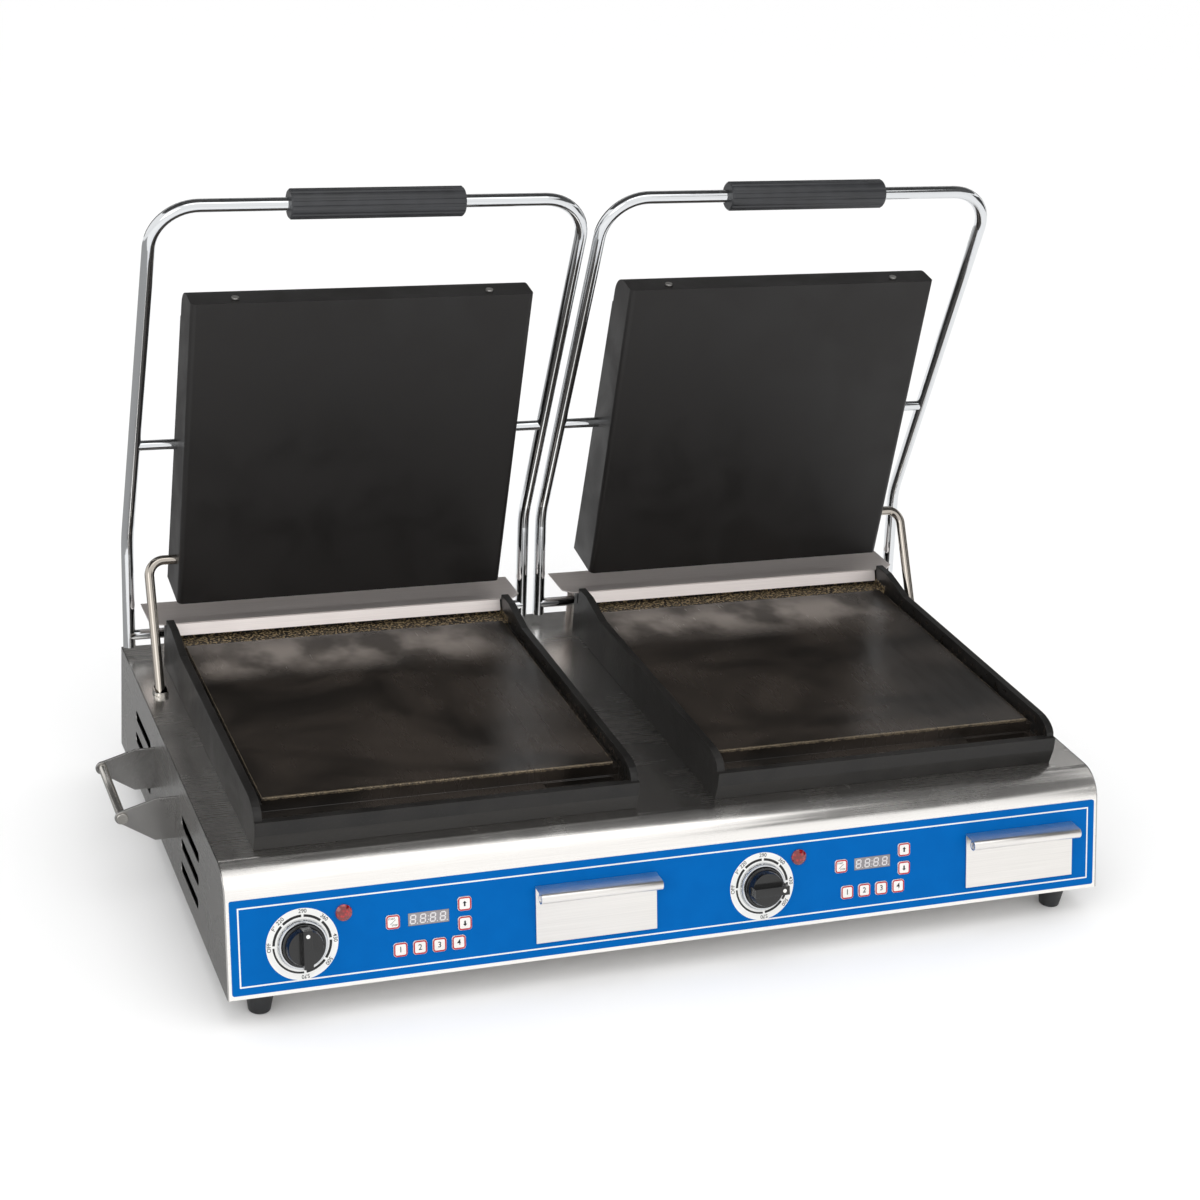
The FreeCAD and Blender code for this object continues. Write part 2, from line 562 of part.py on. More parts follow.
def tray_channels():
    """Sheet channels that carry the trays, standing on the base plate."""
    top = TRAY_BOX_LOW - SLIDE_GAP
    side_height = 12.0
    start, end = 12.0, TRAY_LENGTH + 20.0
    inner = TRAY_WIDTH / 2 - TRAY_INSET + SLIDE_GAP
    outer = inner + SHEET
    leg_depth = 20.0
    shapes = []
    for _, x, _ in PRESSES:
        c = x + TRAY_X
        floor = box(c - outer, c + outer, start, end, top - SHEET, top)
        sides = [box(c + s0, c + s1, start, end, top - SHEET, top + side_height)
                 for s0, s1 in ((-outer, -inner), (inner, outer))]
        stop = box(c - outer, c + outer, end, end + SHEET, top - SHEET, top + side_height)
        legs = [box(c - outer, c + outer, y, y + SHEET, 2 * SHEET, top - SHEET)
                for y in (start + leg_depth, end - leg_depth)]
        shapes.append(fuse([floor, stop] + sides + legs))
    return Part.makeCompound(shapes)


# ---------------------------------------------------------------- lower plate
def lower_plate(x):
    """Cast-iron griddle with side walls, front trough, drain recess and a hollow underside."""
    block = box(-PLATE_HALF, PLATE_HALF, PLATE_FRONT, PLATE_BACK, BODY_HEIGHT, COOK_HEIGHT)
    wall_end = GUARD_FRONT - SLIDE_GAP
    curve_top = PLATE_FRONT + LIP_THICK / 2
    steps = 6
    rounding = [(curve_top + WALL_CURVE * (1 - math.cos(a)),
                 LIP_HEIGHT + (WALL_HEIGHT - LIP_HEIGHT) * math.sin(a))
                for a in (math.pi / 2 * i / steps for i in range(1, steps + 1))]
    outline = ([(PLATE_FRONT, BODY_HEIGHT), (PLATE_FRONT, LIP_HEIGHT), (curve_top, LIP_HEIGHT)]
               + rounding + [(WALL_RISE_FROM, WALL_HEIGHT), (WALL_RISE_TO, WALL_REAR_HEIGHT),
                             (wall_end, WALL_REAR_HEIGHT), (wall_end, BODY_HEIGHT)])
    walls = [prism_yz(outline, s0, s1) for s0, s1 in
             ((-PLATE_HALF, -WALL_HALF_INNER), (WALL_HALF_INNER, PLATE_HALF))]
    rear_front = GUARD_FRONT + SHEET + SLIDE_GAP
    rear = box(-PLATE_HALF, PLATE_HALF, rear_front, PLATE_BACK, BODY_HEIGHT,
               GUARD_HEIGHT - SHEET - SLIDE_GAP)
    trough_floor = COOK_HEIGHT - TROUGH_DEPTH
    high = COOK_HEIGHT + CLEAR
    trough_front = PLATE_FRONT + LIP_THICK
    recess_edge = 2.0
    cutters = [
        box(-PLATE_HALF - CLEAR, PLATE_HALF + CLEAR, PLATE_FRONT - CLEAR, trough_front,
            LIP_HEIGHT, high),
        box(-WALL_HALF_INNER, WALL_HALF_INNER, trough_front, PLATEAU_FRONT, trough_floor, high),
        box(-WALL_HALF_INNER, WALL_HALF_INNER, PLATEAU_BACK, rear_front,
            COOK_HEIGHT - LEDGE_DEPTH, high),
        box(RECESS_FROM, RECESS_TO, trough_front + recess_edge, PLATEAU_FRONT - recess_edge,
            trough_floor - RECESS_DEPTH, high)]
    cutters += [box(s0, s1, PLATEAU_FRONT - CLEAR, PLATEAU_BACK + CLEAR,
                    COOK_HEIGHT - GROOVE_DEPTH, high)
                for s0, s1 in ((-WALL_HALF_INNER, -PLATEAU_HALF), (PLATEAU_HALF, WALL_HALF_INNER))]
    cutters.append(box(CAST_WALL - PLATE_HALF, PLATE_HALF - CAST_WALL, PLATEAU_FRONT + CAST_WALL,
                       PLATE_BACK - CAST_WALL, BODY_HEIGHT - CLEAR, COOK_HEIGHT - CAST_FACE))
    drain = V((RECESS_FROM + RECESS_TO) / 2, (trough_front + PLATEAU_FRONT) / 2, 0)
    spout_low, spout_wall = TRAY_BOX_TOP + 4.0, 2.0
    spout = rod(drain + Z_AXIS * spout_low, drain + Z_AXIS * BODY_HEIGHT,
                DRAIN_RADIUS + spout_wall)
    bore = rod(drain + Z_AXIS * (spout_low - CLEAR), drain + Z_AXIS * high, DRAIN_RADIUS)
    undercut = prism_yz([(PLATE_FRONT, BODY_HEIGHT), (PLATE_FRONT + UNDERCUT_REACH, BODY_HEIGHT),
                         (PLATE_FRONT, BODY_HEIGHT + UNDERCUT_HEIGHT)],
                        -PLATE_HALF - CLEAR, PLATE_HALF + CLEAR)
    body = fuse([cut(block, cutters), rear] + walls)
    return moved(cut(fuse([body, spout]), [bore, undercut]), x)


# ---------------------------------------------------------------- guard and hinge
def splash_guard(x):
    """Bent sheet over the hinge: front strip, flat top and back flange."""
    corner = GUARD_CHAMFER
    low = GUARD_HEIGHT - SHEET
    top = prism_xy([(-GUARD_HALF, GUARD_FRONT + corner), (corner - GUARD_HALF, GUARD_FRONT),
                    (GUARD_HALF - corner, GUARD_FRONT), (GUARD_HALF, GUARD_FRONT + corner),
                    (GUARD_HALF, GUARD_BACK), (-GUARD_HALF, GUARD_BACK)], low, GUARD_HEIGHT)
    strip_low = GUARD_HEIGHT - STRIP_DROP
    strip = prism_yz([(GUARD_FRONT, low), (GUARD_FRONT - STRIP_LEAN, strip_low),
                      (GUARD_FRONT - STRIP_LEAN + SHEET, strip_low), (GUARD_FRONT + SHEET, low)],
                     -STRIP_HALF, STRIP_HALF)
    back = box(-STRIP_HALF, STRIP_HALF, GUARD_BACK - SHEET, GUARD_BACK, BODY_HEIGHT, low)
    return moved(fuse([top, strip, back]), x)


def hinge_bearings():
    """Bearing blocks that carry the hinge shafts."""
    round_top = SHAFT_RADIUS + BEARING_WALL
    back_room = 2.0
    shapes = []
    for _, x, _ in PRESSES:
        for bx in (x - BEARING_X, x + BEARING_X):
            x0, x1 = bx - BEARING_WIDTH / 2, bx + BEARING_WIDTH / 2
            foot = box(x0, x1, HINGE_Y - BEARING_DEPTH / 2,
                       HINGE_Y + BEARING_DEPTH / 2 - back_room,
                       BODY_HEIGHT, HINGE_Z - BEARING_WALL)
            post = box(x0, x1, HINGE_Y - round_top, HINGE_Y + round_top, BODY_HEIGHT, HINGE_Z)
            head = rod(V(x0, HINGE_Y, HINGE_Z), V(x1, HINGE_Y, HINGE_Z), round_top)
            bore = rod(V(x0 - CLEAR, HINGE_Y, HINGE_Z), V(x1 + CLEAR, HINGE_Y, HINGE_Z),
                       SHAFT_RADIUS + RUN_FIT)
            shapes.append(fuse([foot, post, head]).cut(bore))
    return Part.makeCompound(shapes)


def torsion_springs():
    """Counterbalance springs wound round the shafts, with a leg resting on the deck."""
    shaft_gap, turn_gap, leg_gap = 1.4, 0.8, 0.2
    radius = SHAFT_RADIUS + SPRING_WIRE + shaft_gap
    pitch = 2 * SPRING_WIRE + turn_gap
    shapes = []
    for _, x, _ in PRESSES:
        for sx in (-1, 1):
            start = x + sx * SPRING_X - pitch * SPRING_TURNS / 2
            helix = Part.makeHelix(pitch, pitch * SPRING_TURNS, radius)
            circle = Part.Wire(Part.makeCircle(SPRING_WIRE, V(radius, 0, 0), Y_AXIS))
            coil = Part.Wire(helix.Edges).makePipeShell([circle], True, True)
            coil.rotate(V(0, 0, 0), Y_AXIS, 90)
            coil.translate(V(start, HINGE_Y, HINGE_Z))
            leg_z = HINGE_Z - radius
            leg = rod(V(start, HINGE_Y, leg_z), V(start, HINGE_Y, BODY_HEIGHT + leg_gap),
                      SPRING_WIRE)
            shapes.append(fuse([coil, leg]))
    return Part.makeCompound(shapes)


def handle_hoop(x):
    """One bent round bar: two arms with an elbow each and the bar across the top."""
    def arm(side):
        low = V(x + side * HOOP_HALF, HINGE_Y, HINGE_Z - HOOP_TAIL)
        elbow = V(x + side * HOOP_HALF, HOOP_BEND_Y, HOOP_BEND_Z)
        corner = V(x + side * HOOP_HALF, HOOP_TOP_Y, HOOP_TOP_Z)
        return [low, elbow, corner]

    points = arm(-1) + arm(1)[::-1]
    return bent_bar(points, [HOOP_ELBOW, HOOP_CORNER, HOOP_CORNER, HOOP_ELBOW], HOOP_ROD)


def handle_grip(x, hoop):
    """Fluted sleeve on the top bar."""
    start = V(x - GRIP_LENGTH / 2, HOOP_TOP_Y, HOOP_TOP_Z)
    end = V(x + GRIP_LENGTH / 2, HOOP_TOP_Y, HOOP_TOP_Z)
    sleeve = rod(start, end, GRIP_RADIUS)
    rims = [e for e in sleeve.Edges if abs(e.BoundBox.XLength) < 1e-6]
    sleeve = sleeve.makeChamfer(GRIP_CHAMFER, rims)
    centre_radius = GRIP_RADIUS + GRIP_FLUTE_OUT
    flutes = []
    for i in range(GRIP_FLUTES):
        a = 2 * math.pi * i / GRIP_FLUTES
        shift = V(0, centre_radius * math.cos(a), centre_radius * math.sin(a))
        flutes.append(rod(start - X_AXIS + shift, end + X_AXIS + shift, GRIP_FLUTE_RADIUS))
    return cut(sleeve, flutes + [hoop])


def hinge_shaft(x, hoop):
    """Shaft between the lower ends of the arms."""
    return rod(V(x - HOOP_HALF, HINGE_Y, HINGE_Z), V(x + HOOP_HALF, HINGE_Y, HINGE_Z),
               SHAFT_RADIUS).cut(hoop)


def pivot_shaft(x, hoop):
    """Bright cross shaft that the upper plate hangs on."""
    return rod(V(x - HOOP_HALF, PIN_POINT.y, PIN_POINT.z),
               V(x + HOOP_HALF, PIN_POINT.y, PIN_POINT.z), PIN_RADIUS).cut(hoop)


# ---------------------------------------------------------------- upper plate
def upper_back(height):
    """How far back the cast body reaches at a height up its face."""
    notch = UPPER_LENGTH - UPPER_NOTCH
    return UPPER_LOW_THICK + (UPPER_NOTCH_THICK - UPPER_LOW_THICK) * height / notch


def upper_plate(x, side):
    """Cast-iron upper griddle: smooth face, side walls and an open back."""
    notch = UPPER_LENGTH - UPPER_NOTCH
    body = prism_yz([(0, 0), (0, UPPER_LENGTH), (upper_back(UPPER_LENGTH), UPPER_LENGTH),
                     (UPPER_LOW_THICK, 0)], -UPPER_HALF, UPPER_HALF)
    rear_top = [e for e in body.Edges
                if e.BoundBox.YMin > CAST_FACE and e.BoundBox.ZMin > UPPER_LENGTH - CLEAR]
    body = body.makeFillet(UPPER_TOP_RADIUS, rear_top)
    uprights = [e for e in body.Edges
                if abs(e.BoundBox.ZLength - UPPER_LENGTH) < 1e-6 and e.BoundBox.YMax < 1e-6]
    body = body.makeFillet(UPPER_EDGE, uprights)
    inner = UPPER_HALF - CAST_WALL
    hollow = box(-inner, inner, CAST_FACE, UPPER_LOW_THICK + CLEAR, CAST_WALL,
                 notch - CAST_WALL)
    bosses = [Part.makeCylinder(PIN_RADIUS + BOSS_WALL, BOSS_LENGTH,
                                V(s * (UPPER_HALF - BOSS_LENGTH if s > 0 else UPPER_HALF),
                                  PIN_BACK, PIN_UP), X_AXIS) for s in (-1, 1)]
    within = prism_yz([(0, 0), (0, notch), (upper_back(notch), notch), (UPPER_LOW_THICK, 0)],
                      -UPPER_HALF, UPPER_HALF)
    bore = rod(V(-UPPER_HALF - CLEAR, PIN_BACK, PIN_UP), V(UPPER_HALF + CLEAR, PIN_BACK, PIN_UP),
               PIN_RADIUS + RUN_FIT)
    body = cut(fuse([body.cut(hollow)] + [b.common(within) for b in bosses]), [bore])
    entry = rod(V(x + side * (UPPER_HALF - TUBE_INSERT), TUBE_Y, TUBE_Z),
                V(x + side * (UPPER_HALF + CLEAR), TUBE_Y, TUBE_Z), TUBE_RADIUS + RUN_FIT)
    return on_upper(body, x).cut(entry)


def upper_cover(x):
    """Flat sheet cover over the open back, with holes for its screws."""
    notch = UPPER_LENGTH - UPPER_NOTCH
    sheet = prism_yz([(UPPER_LOW_THICK, 0), (UPPER_NOTCH_THICK, notch),
                      (UPPER_NOTCH_THICK + COVER_THICK, notch),
                      (UPPER_LOW_THICK + COVER_THICK, 0)], -UPPER_HALF, UPPER_HALF)
    return on_upper(cut(sheet, [screw_hole(HOLE_GAP, sx, up) for sx, up in cover_screws()]), x)


def cover_screws():
    """Places of the cover screws: across, and up the plate."""
    edge = UPPER_HALF - CAST_WALL / 2
    rows = (UPPER_NOTCH, UPPER_LENGTH / 2, UPPER_LENGTH - 2 * UPPER_NOTCH)
    return [(s * edge, up) for s in (-1, 1) for up in rows]


def screw_hole(grow, across, up):
    """The hole for one cover screw, grown from its shank."""
    back = upper_back(up)
    shank = SCREW_SHANK + grow
    return rod(V(across, back - CLEAR, up), V(across, back + COVER_THICK + CLEAR, up), shank)


def screws(x):
    """Cover screws on the back, and two on the top edge."""
    shapes = []
    lean = math.atan2(UPPER_LOW_THICK - UPPER_NOTCH_THICK, UPPER_LENGTH - UPPER_NOTCH)
    out = V(0, math.cos(lean), math.sin(lean))
    for across, up in cover_screws():
        seat = V(across, upper_back(up) + COVER_THICK, up)
        head = Part.makeCylinder(SCREW_RADIUS, SCREW_HEAD, seat, out)
        shank = rod(seat - Y_AXIS * (COVER_THICK - HOLE_GAP), seat + out, SCREW_SHANK)
        shapes.append(fuse([head, shank]))
    for s in (-1, 1):
        seat = V(s * (UPPER_HALF - TOP_SCREW_IN), TOP_SCREW_BACK, UPPER_LENGTH)
        shapes.append(Part.makeCylinder(SCREW_RADIUS, SCREW_HEAD, seat, Z_AXIS))
    return on_upper(Part.makeCompound(shapes), x)


# ---------------------------------------------------------------- wiring tube
def wiring_tube(x, side):
    """Rigid tube from the side of the upper plate down through the deck."""
    inner = V(x + side * (UPPER_HALF - TUBE_INSERT), TUBE_Y, TUBE_Z)
    corner = V(x + side * TUBE_OFFSET, TUBE_Y, TUBE_Z)
    deck = V(x + side * TUBE_OFFSET, COLLAR_Y, BODY_HEIGHT)
    end = deck + (deck - corner).normalize() * TUBE_TAIL
    return bent_bar([inner, corner, end], [TUBE_BEND], TUBE_RADIUS)


def deck_collars():
    """Oval collars on the deck that the wiring tubes slide through."""
    inner_x = TUBE_RADIUS + SLIDE_GAP
    inner_y = TUBE_RADIUS + COLLAR_SWING
    shapes = []
    for _, x, side in PRESSES:
        tube_x = x + side * TUBE_OFFSET
        shell = box(tube_x - inner_x - COLLAR_WALL, tube_x + inner_x + COLLAR_WALL,
                    COLLAR_Y - inner_y - COLLAR_WALL, COLLAR_Y + inner_y + COLLAR_WALL,
                    BODY_HEIGHT, BODY_HEIGHT + COLLAR_HEIGHT)
        uprights = [e for e in shell.Edges if abs(e.BoundBox.ZLength - COLLAR_HEIGHT) < 1e-6]
        shell = shell.makeFillet(inner_x, uprights)
        hole = box(tube_x - inner_x, tube_x + inner_x, COLLAR_Y - inner_y,
                   COLLAR_Y + inner_y, BODY_HEIGHT - CLEAR, BODY_HEIGHT + COLLAR_HEIGHT + CLEAR)
        shapes.append(shell.cut(hole))
    return Part.makeCompound(shapes)


# ---------------------------------------------------------------- carry handles
def carry_brackets(side):
    """Two tapered brackets on one end panel, each with an inner tab."""
    root, inside = HALF_WIDTH, HALF_WIDTH - SHEET
    tip = root + ROD_REACH
    outline = [(inside - BRACKET_THICK, BRACKET_LOW), (root + BRACKET_FLAT, BRACKET_LOW),
               (tip, ROD_HEIGHT - BRACKET_TIP_HALF), (tip, ROD_HEIGHT + BRACKET_TIP_HALF),
               (root + BRACKET_FLAT, BRACKET_TOP), (inside - BRACKET_THICK, BRACKET_TOP)]
    shapes = []
    for y in BRACKET_PLACES:
        y0, y1 = y - BRACKET_THICK / 2, y + BRACKET_THICK / 2
        blade = prism_xz([(side * px, pz) for px, pz in outline], y0, y1)
        nose = rod(V(side * tip, y0, ROD_HEIGHT), V(side * tip, y1, ROD_HEIGHT), BRACKET_TIP_HALF)
        x0, x1 = sorted((side * (inside - BRACKET_THICK), side * inside))
        tab = box(x0, x1, y1 - CLEAR, y1 + TAB_DEPTH, BRACKET_LOW, BRACKET_TOP)
        hole = rod(V(side * tip, y0 - CLEAR, ROD_HEIGHT), V(side * tip, y1 + CLEAR, ROD_HEIGHT),
                   ROD_RADIUS)
        shapes.append(fuse([blade, nose, tab]).cut(hole))
    return Part.makeCompound(shapes)


def carry_rods():
    """Round rods between the bracket tips, with riveted heads."""
    front, back = min(BRACKET_PLACES), max(BRACKET_PLACES)
    y0, y1 = front - BRACKET_THICK / 2, back + BRACKET_THICK / 2
    shapes = []
    for _, side in SIDES:
        x = side * (HALF_WIDTH + ROD_REACH)
        shapes.append(fuse([
            rod(V(x, y0, ROD_HEIGHT), V(x, y1, ROD_HEIGHT), ROD_RADIUS),
            rod(V(x, y0 - ROD_HEAD, ROD_HEIGHT), V(x, y0, ROD_HEIGHT), ROD_HEAD_RADIUS),
            rod(V(x, y1, ROD_HEIGHT), V(x, y1 + ROD_HEAD, ROD_HEIGHT), ROD_HEAD_RADIUS)]))
    return Part.makeCompound(shapes)


def cable_gland():
    """Inlet gland through the back panel, with its lock nut."""
    thread_in = 8.0
    seat = BODY_DEPTH
    inner = BODY_DEPTH - SHEET
    flange = rod(V(GLAND_X, seat, GLAND_Z), V(GLAND_X, seat + GLAND_REACH, GLAND_Z), GLAND_RADIUS)
    thread = rod(V(GLAND_X, inner - thread_in, GLAND_Z), V(GLAND_X, seat, GLAND_Z), GLAND_THREAD)
    nut = rod(V(GLAND_X, inner - thread_in / 2, GLAND_Z), V(GLAND_X, inner, GLAND_Z), GLAND_RADIUS)
    bore = rod(V(GLAND_X, 0, GLAND_Z), V(GLAND_X, seat + GLAND_REACH + CLEAR, GLAND_Z), GLAND_BORE)
    return fuse([flange, thread, nut]).cut(bore)


# ---------------------------------------------------------------- assembly
def build():
    """Every node of the machine, by name, in the building frame."""
    nodes = {"body_wrap": body_wrap(), "back_panel": back_panel(), "base_plate": base_plate(),
             "feet": feet(), "control_overlay": control_overlay(),
             "thermostats": thermostats(), "indicator_lamps": indicator_lamps(),
             "timer_displays": timer_displays(), "timer_boards": timer_boards(),
             "tray_channels": tray_channels(), "hinge_bearings": hinge_bearings(),
             "torsion_springs": torsion_springs(), "deck_collars": deck_collars(),
             "carry_rods": carry_rods(), "cable_gland": cable_gland()}
    for name, side in SIDES:
        nodes["side_panel_" + name] = side_panel(side)
        nodes["carry_brackets_" + name] = carry_brackets(side)
    knob_turns = {"left": 0, "right": -90}
    for name, x, side in PRESSES:
        hoop = handle_hoop(x)
        nodes["knob_bezel_" + name] = knob_bezel(x)
        nodes["thermostat_knob_" + name] = thermostat_knob(x, knob_turns[name])
        nodes["drip_tray_" + name] = drip_tray(x)
        nodes["lower_plate_" + name] = lower_plate(x)
        nodes["splash_guard_" + name] = splash_guard(x)
        nodes["handle_hoop_" + name] = hoop
        nodes["handle_grip_" + name] = handle_grip(x, hoop)
        nodes["hinge_shaft_" + name] = hinge_shaft(x, hoop)
        nodes["pivot_shaft_" + name] = pivot_shaft(x, hoop)
        nodes["upper_plate_" + name] = upper_plate(x, side)
        nodes["upper_cover_" + name] = upper_cover(x)
        nodes["cover_screws_" + name] = screws(x)
        nodes["wiring_tube_" + name] = wiring_tube(x, side)
        for label, across, up in button_places():
            nodes["button_%s_%s" % (label, name)] = timer_button(x, across, up)
    return nodes


def to_origin(nodes):
    """The move that puts the bottom centre of the whole machine at the origin."""
    whole = Part.makeCompound(list(nodes.values())).BoundBox
    return V(-(whole.XMin + whole.XMax) / 2, -(whole.YMin + whole.YMax) / 2, -whole.ZMin)


NODES = build()
SHIFT = to_origin(NODES)
os.makedirs("parts", exist_ok=True)
for node_name, node_shape in NODES.items():
    final = node_shape.copy()
    final.translate(SHIFT)
    final.exportStep("parts/%s.step" % node_name)
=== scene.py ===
import json
import logging
import math
from collections.abc import Iterable, Sequence
from dataclasses import dataclass
from enum import Enum

import bmesh
import bpy
from mathutils import Matrix, Vector


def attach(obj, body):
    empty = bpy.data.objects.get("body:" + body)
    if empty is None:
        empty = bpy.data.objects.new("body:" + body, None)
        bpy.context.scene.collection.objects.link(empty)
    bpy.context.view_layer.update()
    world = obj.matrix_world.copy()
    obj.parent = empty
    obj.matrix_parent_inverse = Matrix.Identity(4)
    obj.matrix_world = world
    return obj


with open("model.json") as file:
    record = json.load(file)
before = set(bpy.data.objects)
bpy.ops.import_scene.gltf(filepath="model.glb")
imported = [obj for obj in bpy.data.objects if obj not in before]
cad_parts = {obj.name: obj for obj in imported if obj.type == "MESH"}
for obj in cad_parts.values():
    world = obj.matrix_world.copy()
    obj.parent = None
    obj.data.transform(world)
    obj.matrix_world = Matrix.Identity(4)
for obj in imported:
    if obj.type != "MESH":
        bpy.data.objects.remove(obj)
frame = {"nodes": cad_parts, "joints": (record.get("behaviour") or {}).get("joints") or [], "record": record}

# The looks of a double panini press: brushed stainless body, seasoned cast-iron griddles,
# chromed handle hoops with fluted rubber grips, and a printed control film.
# Everything is in metres; sizes of pieces made here are given in millimetres.

logging.basicConfig(level=logging.INFO, format="%(message)s")
LOG = logging.getLogger("press")
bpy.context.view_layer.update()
MM = 0.001

Outline = Sequence[tuple[float, float]]
Place = tuple[float, float, float]


def linear(hex_colour: str) -> tuple[float, float, float, float]:
    """Turns an sRGB hex colour into linear light.

    Args:
        hex_colour: six hex digits, such as "c8c9cb".

    Returns:
        Red, green, blue and an alpha of one.
    """
    parts = [int(hex_colour[i:i + 2], 16) / 255 for i in (0, 2, 4)]
    low = [p / 12.92 if p <= 0.04045 else ((p + 0.055) / 1.055) ** 2.4 for p in parts]
    return low[0], low[1], low[2], 1.0


def add_node(tree: bpy.types.NodeTree, kind: str, inputs: dict | None = None,
             **settings: object) -> bpy.types.Node:
    """Adds one node to a tree.

    Args:
        tree: the material's or world's node tree.
        kind: the node's type name.
        inputs: values or output sockets, by input name or number.
        **settings: the node's own settings.

    Returns:
        The new node.
    """
    node = tree.nodes.new(kind)
    for key, value in settings.items():
        setattr(node, key, value)
    for key, value in (inputs or {}).items():
        socket = node.inputs[key]
        if isinstance(value, bpy.types.NodeSocket):
            tree.links.new(value, socket)
        else:
            socket.default_value = value
    return node


# ------------------------------------------------------------------------------ finishes
# The kinds of node used most, and the settings they have here.
RANGE, MIX, MATH, BUMP = "ShaderNodeMapRange", "ShaderNodeMix", "ShaderNodeMath", "ShaderNodeBump"
SOFT = {"interpolation_type": "SMOOTHSTEP"}
COLOURS = {"data_type": "RGBA"}
# Nearly all of a cloudy pattern's values lie between these two.
THIN, DENSE = 0.3, 0.7


class Grain(Enum):
    """Which way the sheet was brushed or the bar was drawn."""

    ACROSS = (1.0, 0.0, 0.0)
    BACKWARD = (0.0, 1.0, 0.0)


@dataclass(frozen=True)
class Finish:
    """What every surface finish has: a name, a colour and how rough it is."""

    name: str
    colour: str
    roughness: float

    def material(self) -> bpy.types.Material:
        """Gives the finish's material, built the first time it is asked for."""
        made = bpy.data.materials.get(self.name)
        if made is None:
            made = bpy.data.materials.new(self.name)
            made.use_nodes = True
            tree = made.node_tree
            shader = tree.nodes["Principled BSDF"]
            shader.inputs["Base Color"].default_value = linear(self.colour)
            shader.inputs["Roughness"].default_value = self.roughness
            place = add_node(tree, "ShaderNodeTexCoord").outputs["Object"]
            self.dress(tree, shader, place)
        return made

    def dress(self, tree: bpy.types.NodeTree, shader: bpy.types.Node,
              place: bpy.types.NodeSocket) -> None:
        """Adds the finish's own nodes.

        Args:
            tree: the material's tree.
            shader: its Principled shader.
            place: the piece's own coordinates, in metres.
        """
        raise NotImplementedError

    @staticmethod
    def mottle(tree: bpy.types.NodeTree, place: bpy.types.NodeSocket, size_mm: Place,
               detail: float = 2.0, warp: float = 0.0) -> bpy.types.NodeSocket:
        """A cloudy pattern with patches of a real size.

        Args:
            tree: the material's tree.
            place: the coordinates it lies on, in metres.
            size_mm: how long a patch is along each axis.
            detail: how many finer layers it has.
            warp: how far the pattern is pulled about.

        Returns:
            A socket that runs from nought to one.
        """
        scale = tuple(1.0 / (MM * size) for size in size_mm)
        scaled = add_node(tree, "ShaderNodeMapping", {"Vector": place, "Scale": scale})
        return add_node(tree, "ShaderNodeTexNoise",
                        {"Vector": scaled.outputs[0], "Scale": 1.0, "Detail": detail,
                         "Distortion": warp}).outputs["Fac"]


@dataclass(frozen=True)
class BrushedStainless(Finish):
    """304 stainless sheet with a number 4 brushed face: fine straight lines, soft gleam."""

    shade: str = "9a9896"
    grain: Grain = Grain.ACROSS
    line_mm: float = 0.5        # the real lines are 0.1 mm apart, too fine to show
    run_mm: float = 90.0
    relief_mm: float = 0.004
    handled_mm: Place = (90.0, 70.0, 60.0)

    def dress(self, tree: bpy.types.NodeTree, shader: bpy.types.Node,
              place: bpy.types.NodeSocket) -> None:
        """Brush lines in colour, gloss and relief, with faint handling marks."""
        size = tuple(self.run_mm if along else self.line_mm for along in self.grain.value)
        lines = self.mottle(tree, place, size, detail=3.0)
        clouds = self.mottle(tree, place, self.handled_mm, detail=3.0, warp=0.8)
        share = add_node(tree, RANGE, {0: lines, 1: THIN, 2: DENSE, 3: 0.0, 4: 1.0}, **SOFT)
        sheet = add_node(tree, MIX, {0: share.outputs[0], 6: linear(self.shade),
                                     7: linear(self.colour)}, **COLOURS)
        shader.inputs["Metallic"].default_value = 1.0
        tree.links.new(sheet.outputs[2], shader.inputs["Base Color"])
        scratch = add_node(tree, RANGE, {0: lines, 1: THIN, 2: DENSE, 3: -0.02, 4: 0.02}, **SOFT)
        handled = add_node(tree, RANGE, {0: clouds, 1: THIN, 2: DENSE, 3: self.roughness - 0.03,
                                         4: self.roughness + 0.04}, **SOFT)
        gloss = add_node(tree, MATH, {0: scratch.outputs[0], 1: handled.outputs[0]},
                         operation="ADD")
        tree.links.new(gloss.outputs[0], shader.inputs["Roughness"])
        bump = add_node(tree, BUMP, {"Height": lines, "Distance": self.relief_mm * MM,
                                     "Strength": 0.5})
        tree.links.new(bump.outputs[0], shader.inputs["Normal"])


@dataclass(frozen=True)
class Chrome(Finish):
    """Bright chromium plate on steel bar: mirror gloss with a faint cloudy film."""

    film_mm: Place = (14.0, 14.0, 40.0)
    relief_mm: float = 0.02

    def dress(self, tree: bpy.types.NodeTree, shader: bpy.types.Node,
              place: bpy.types.NodeSocket) -> None:
        """A mirror that wavers a little along the bar."""
        film = self.mottle(tree, place, self.film_mm, detail=2.0)
        shader.inputs["Metallic"].default_value = 1.0
        gloss = add_node(tree, RANGE, {0: film, 1: THIN, 2: DENSE, 3: self.roughness,
                                       4: self.roughness + 0.06}, **SOFT)
        tree.links.new(gloss.outputs[0], shader.inputs["Roughness"])
        bump = add_node(tree, BUMP, {"Height": film, "Distance": self.relief_mm * MM,
                                     "Strength": 0.3})
        tree.links.new(bump.outputs[0], shader.inputs["Normal"])


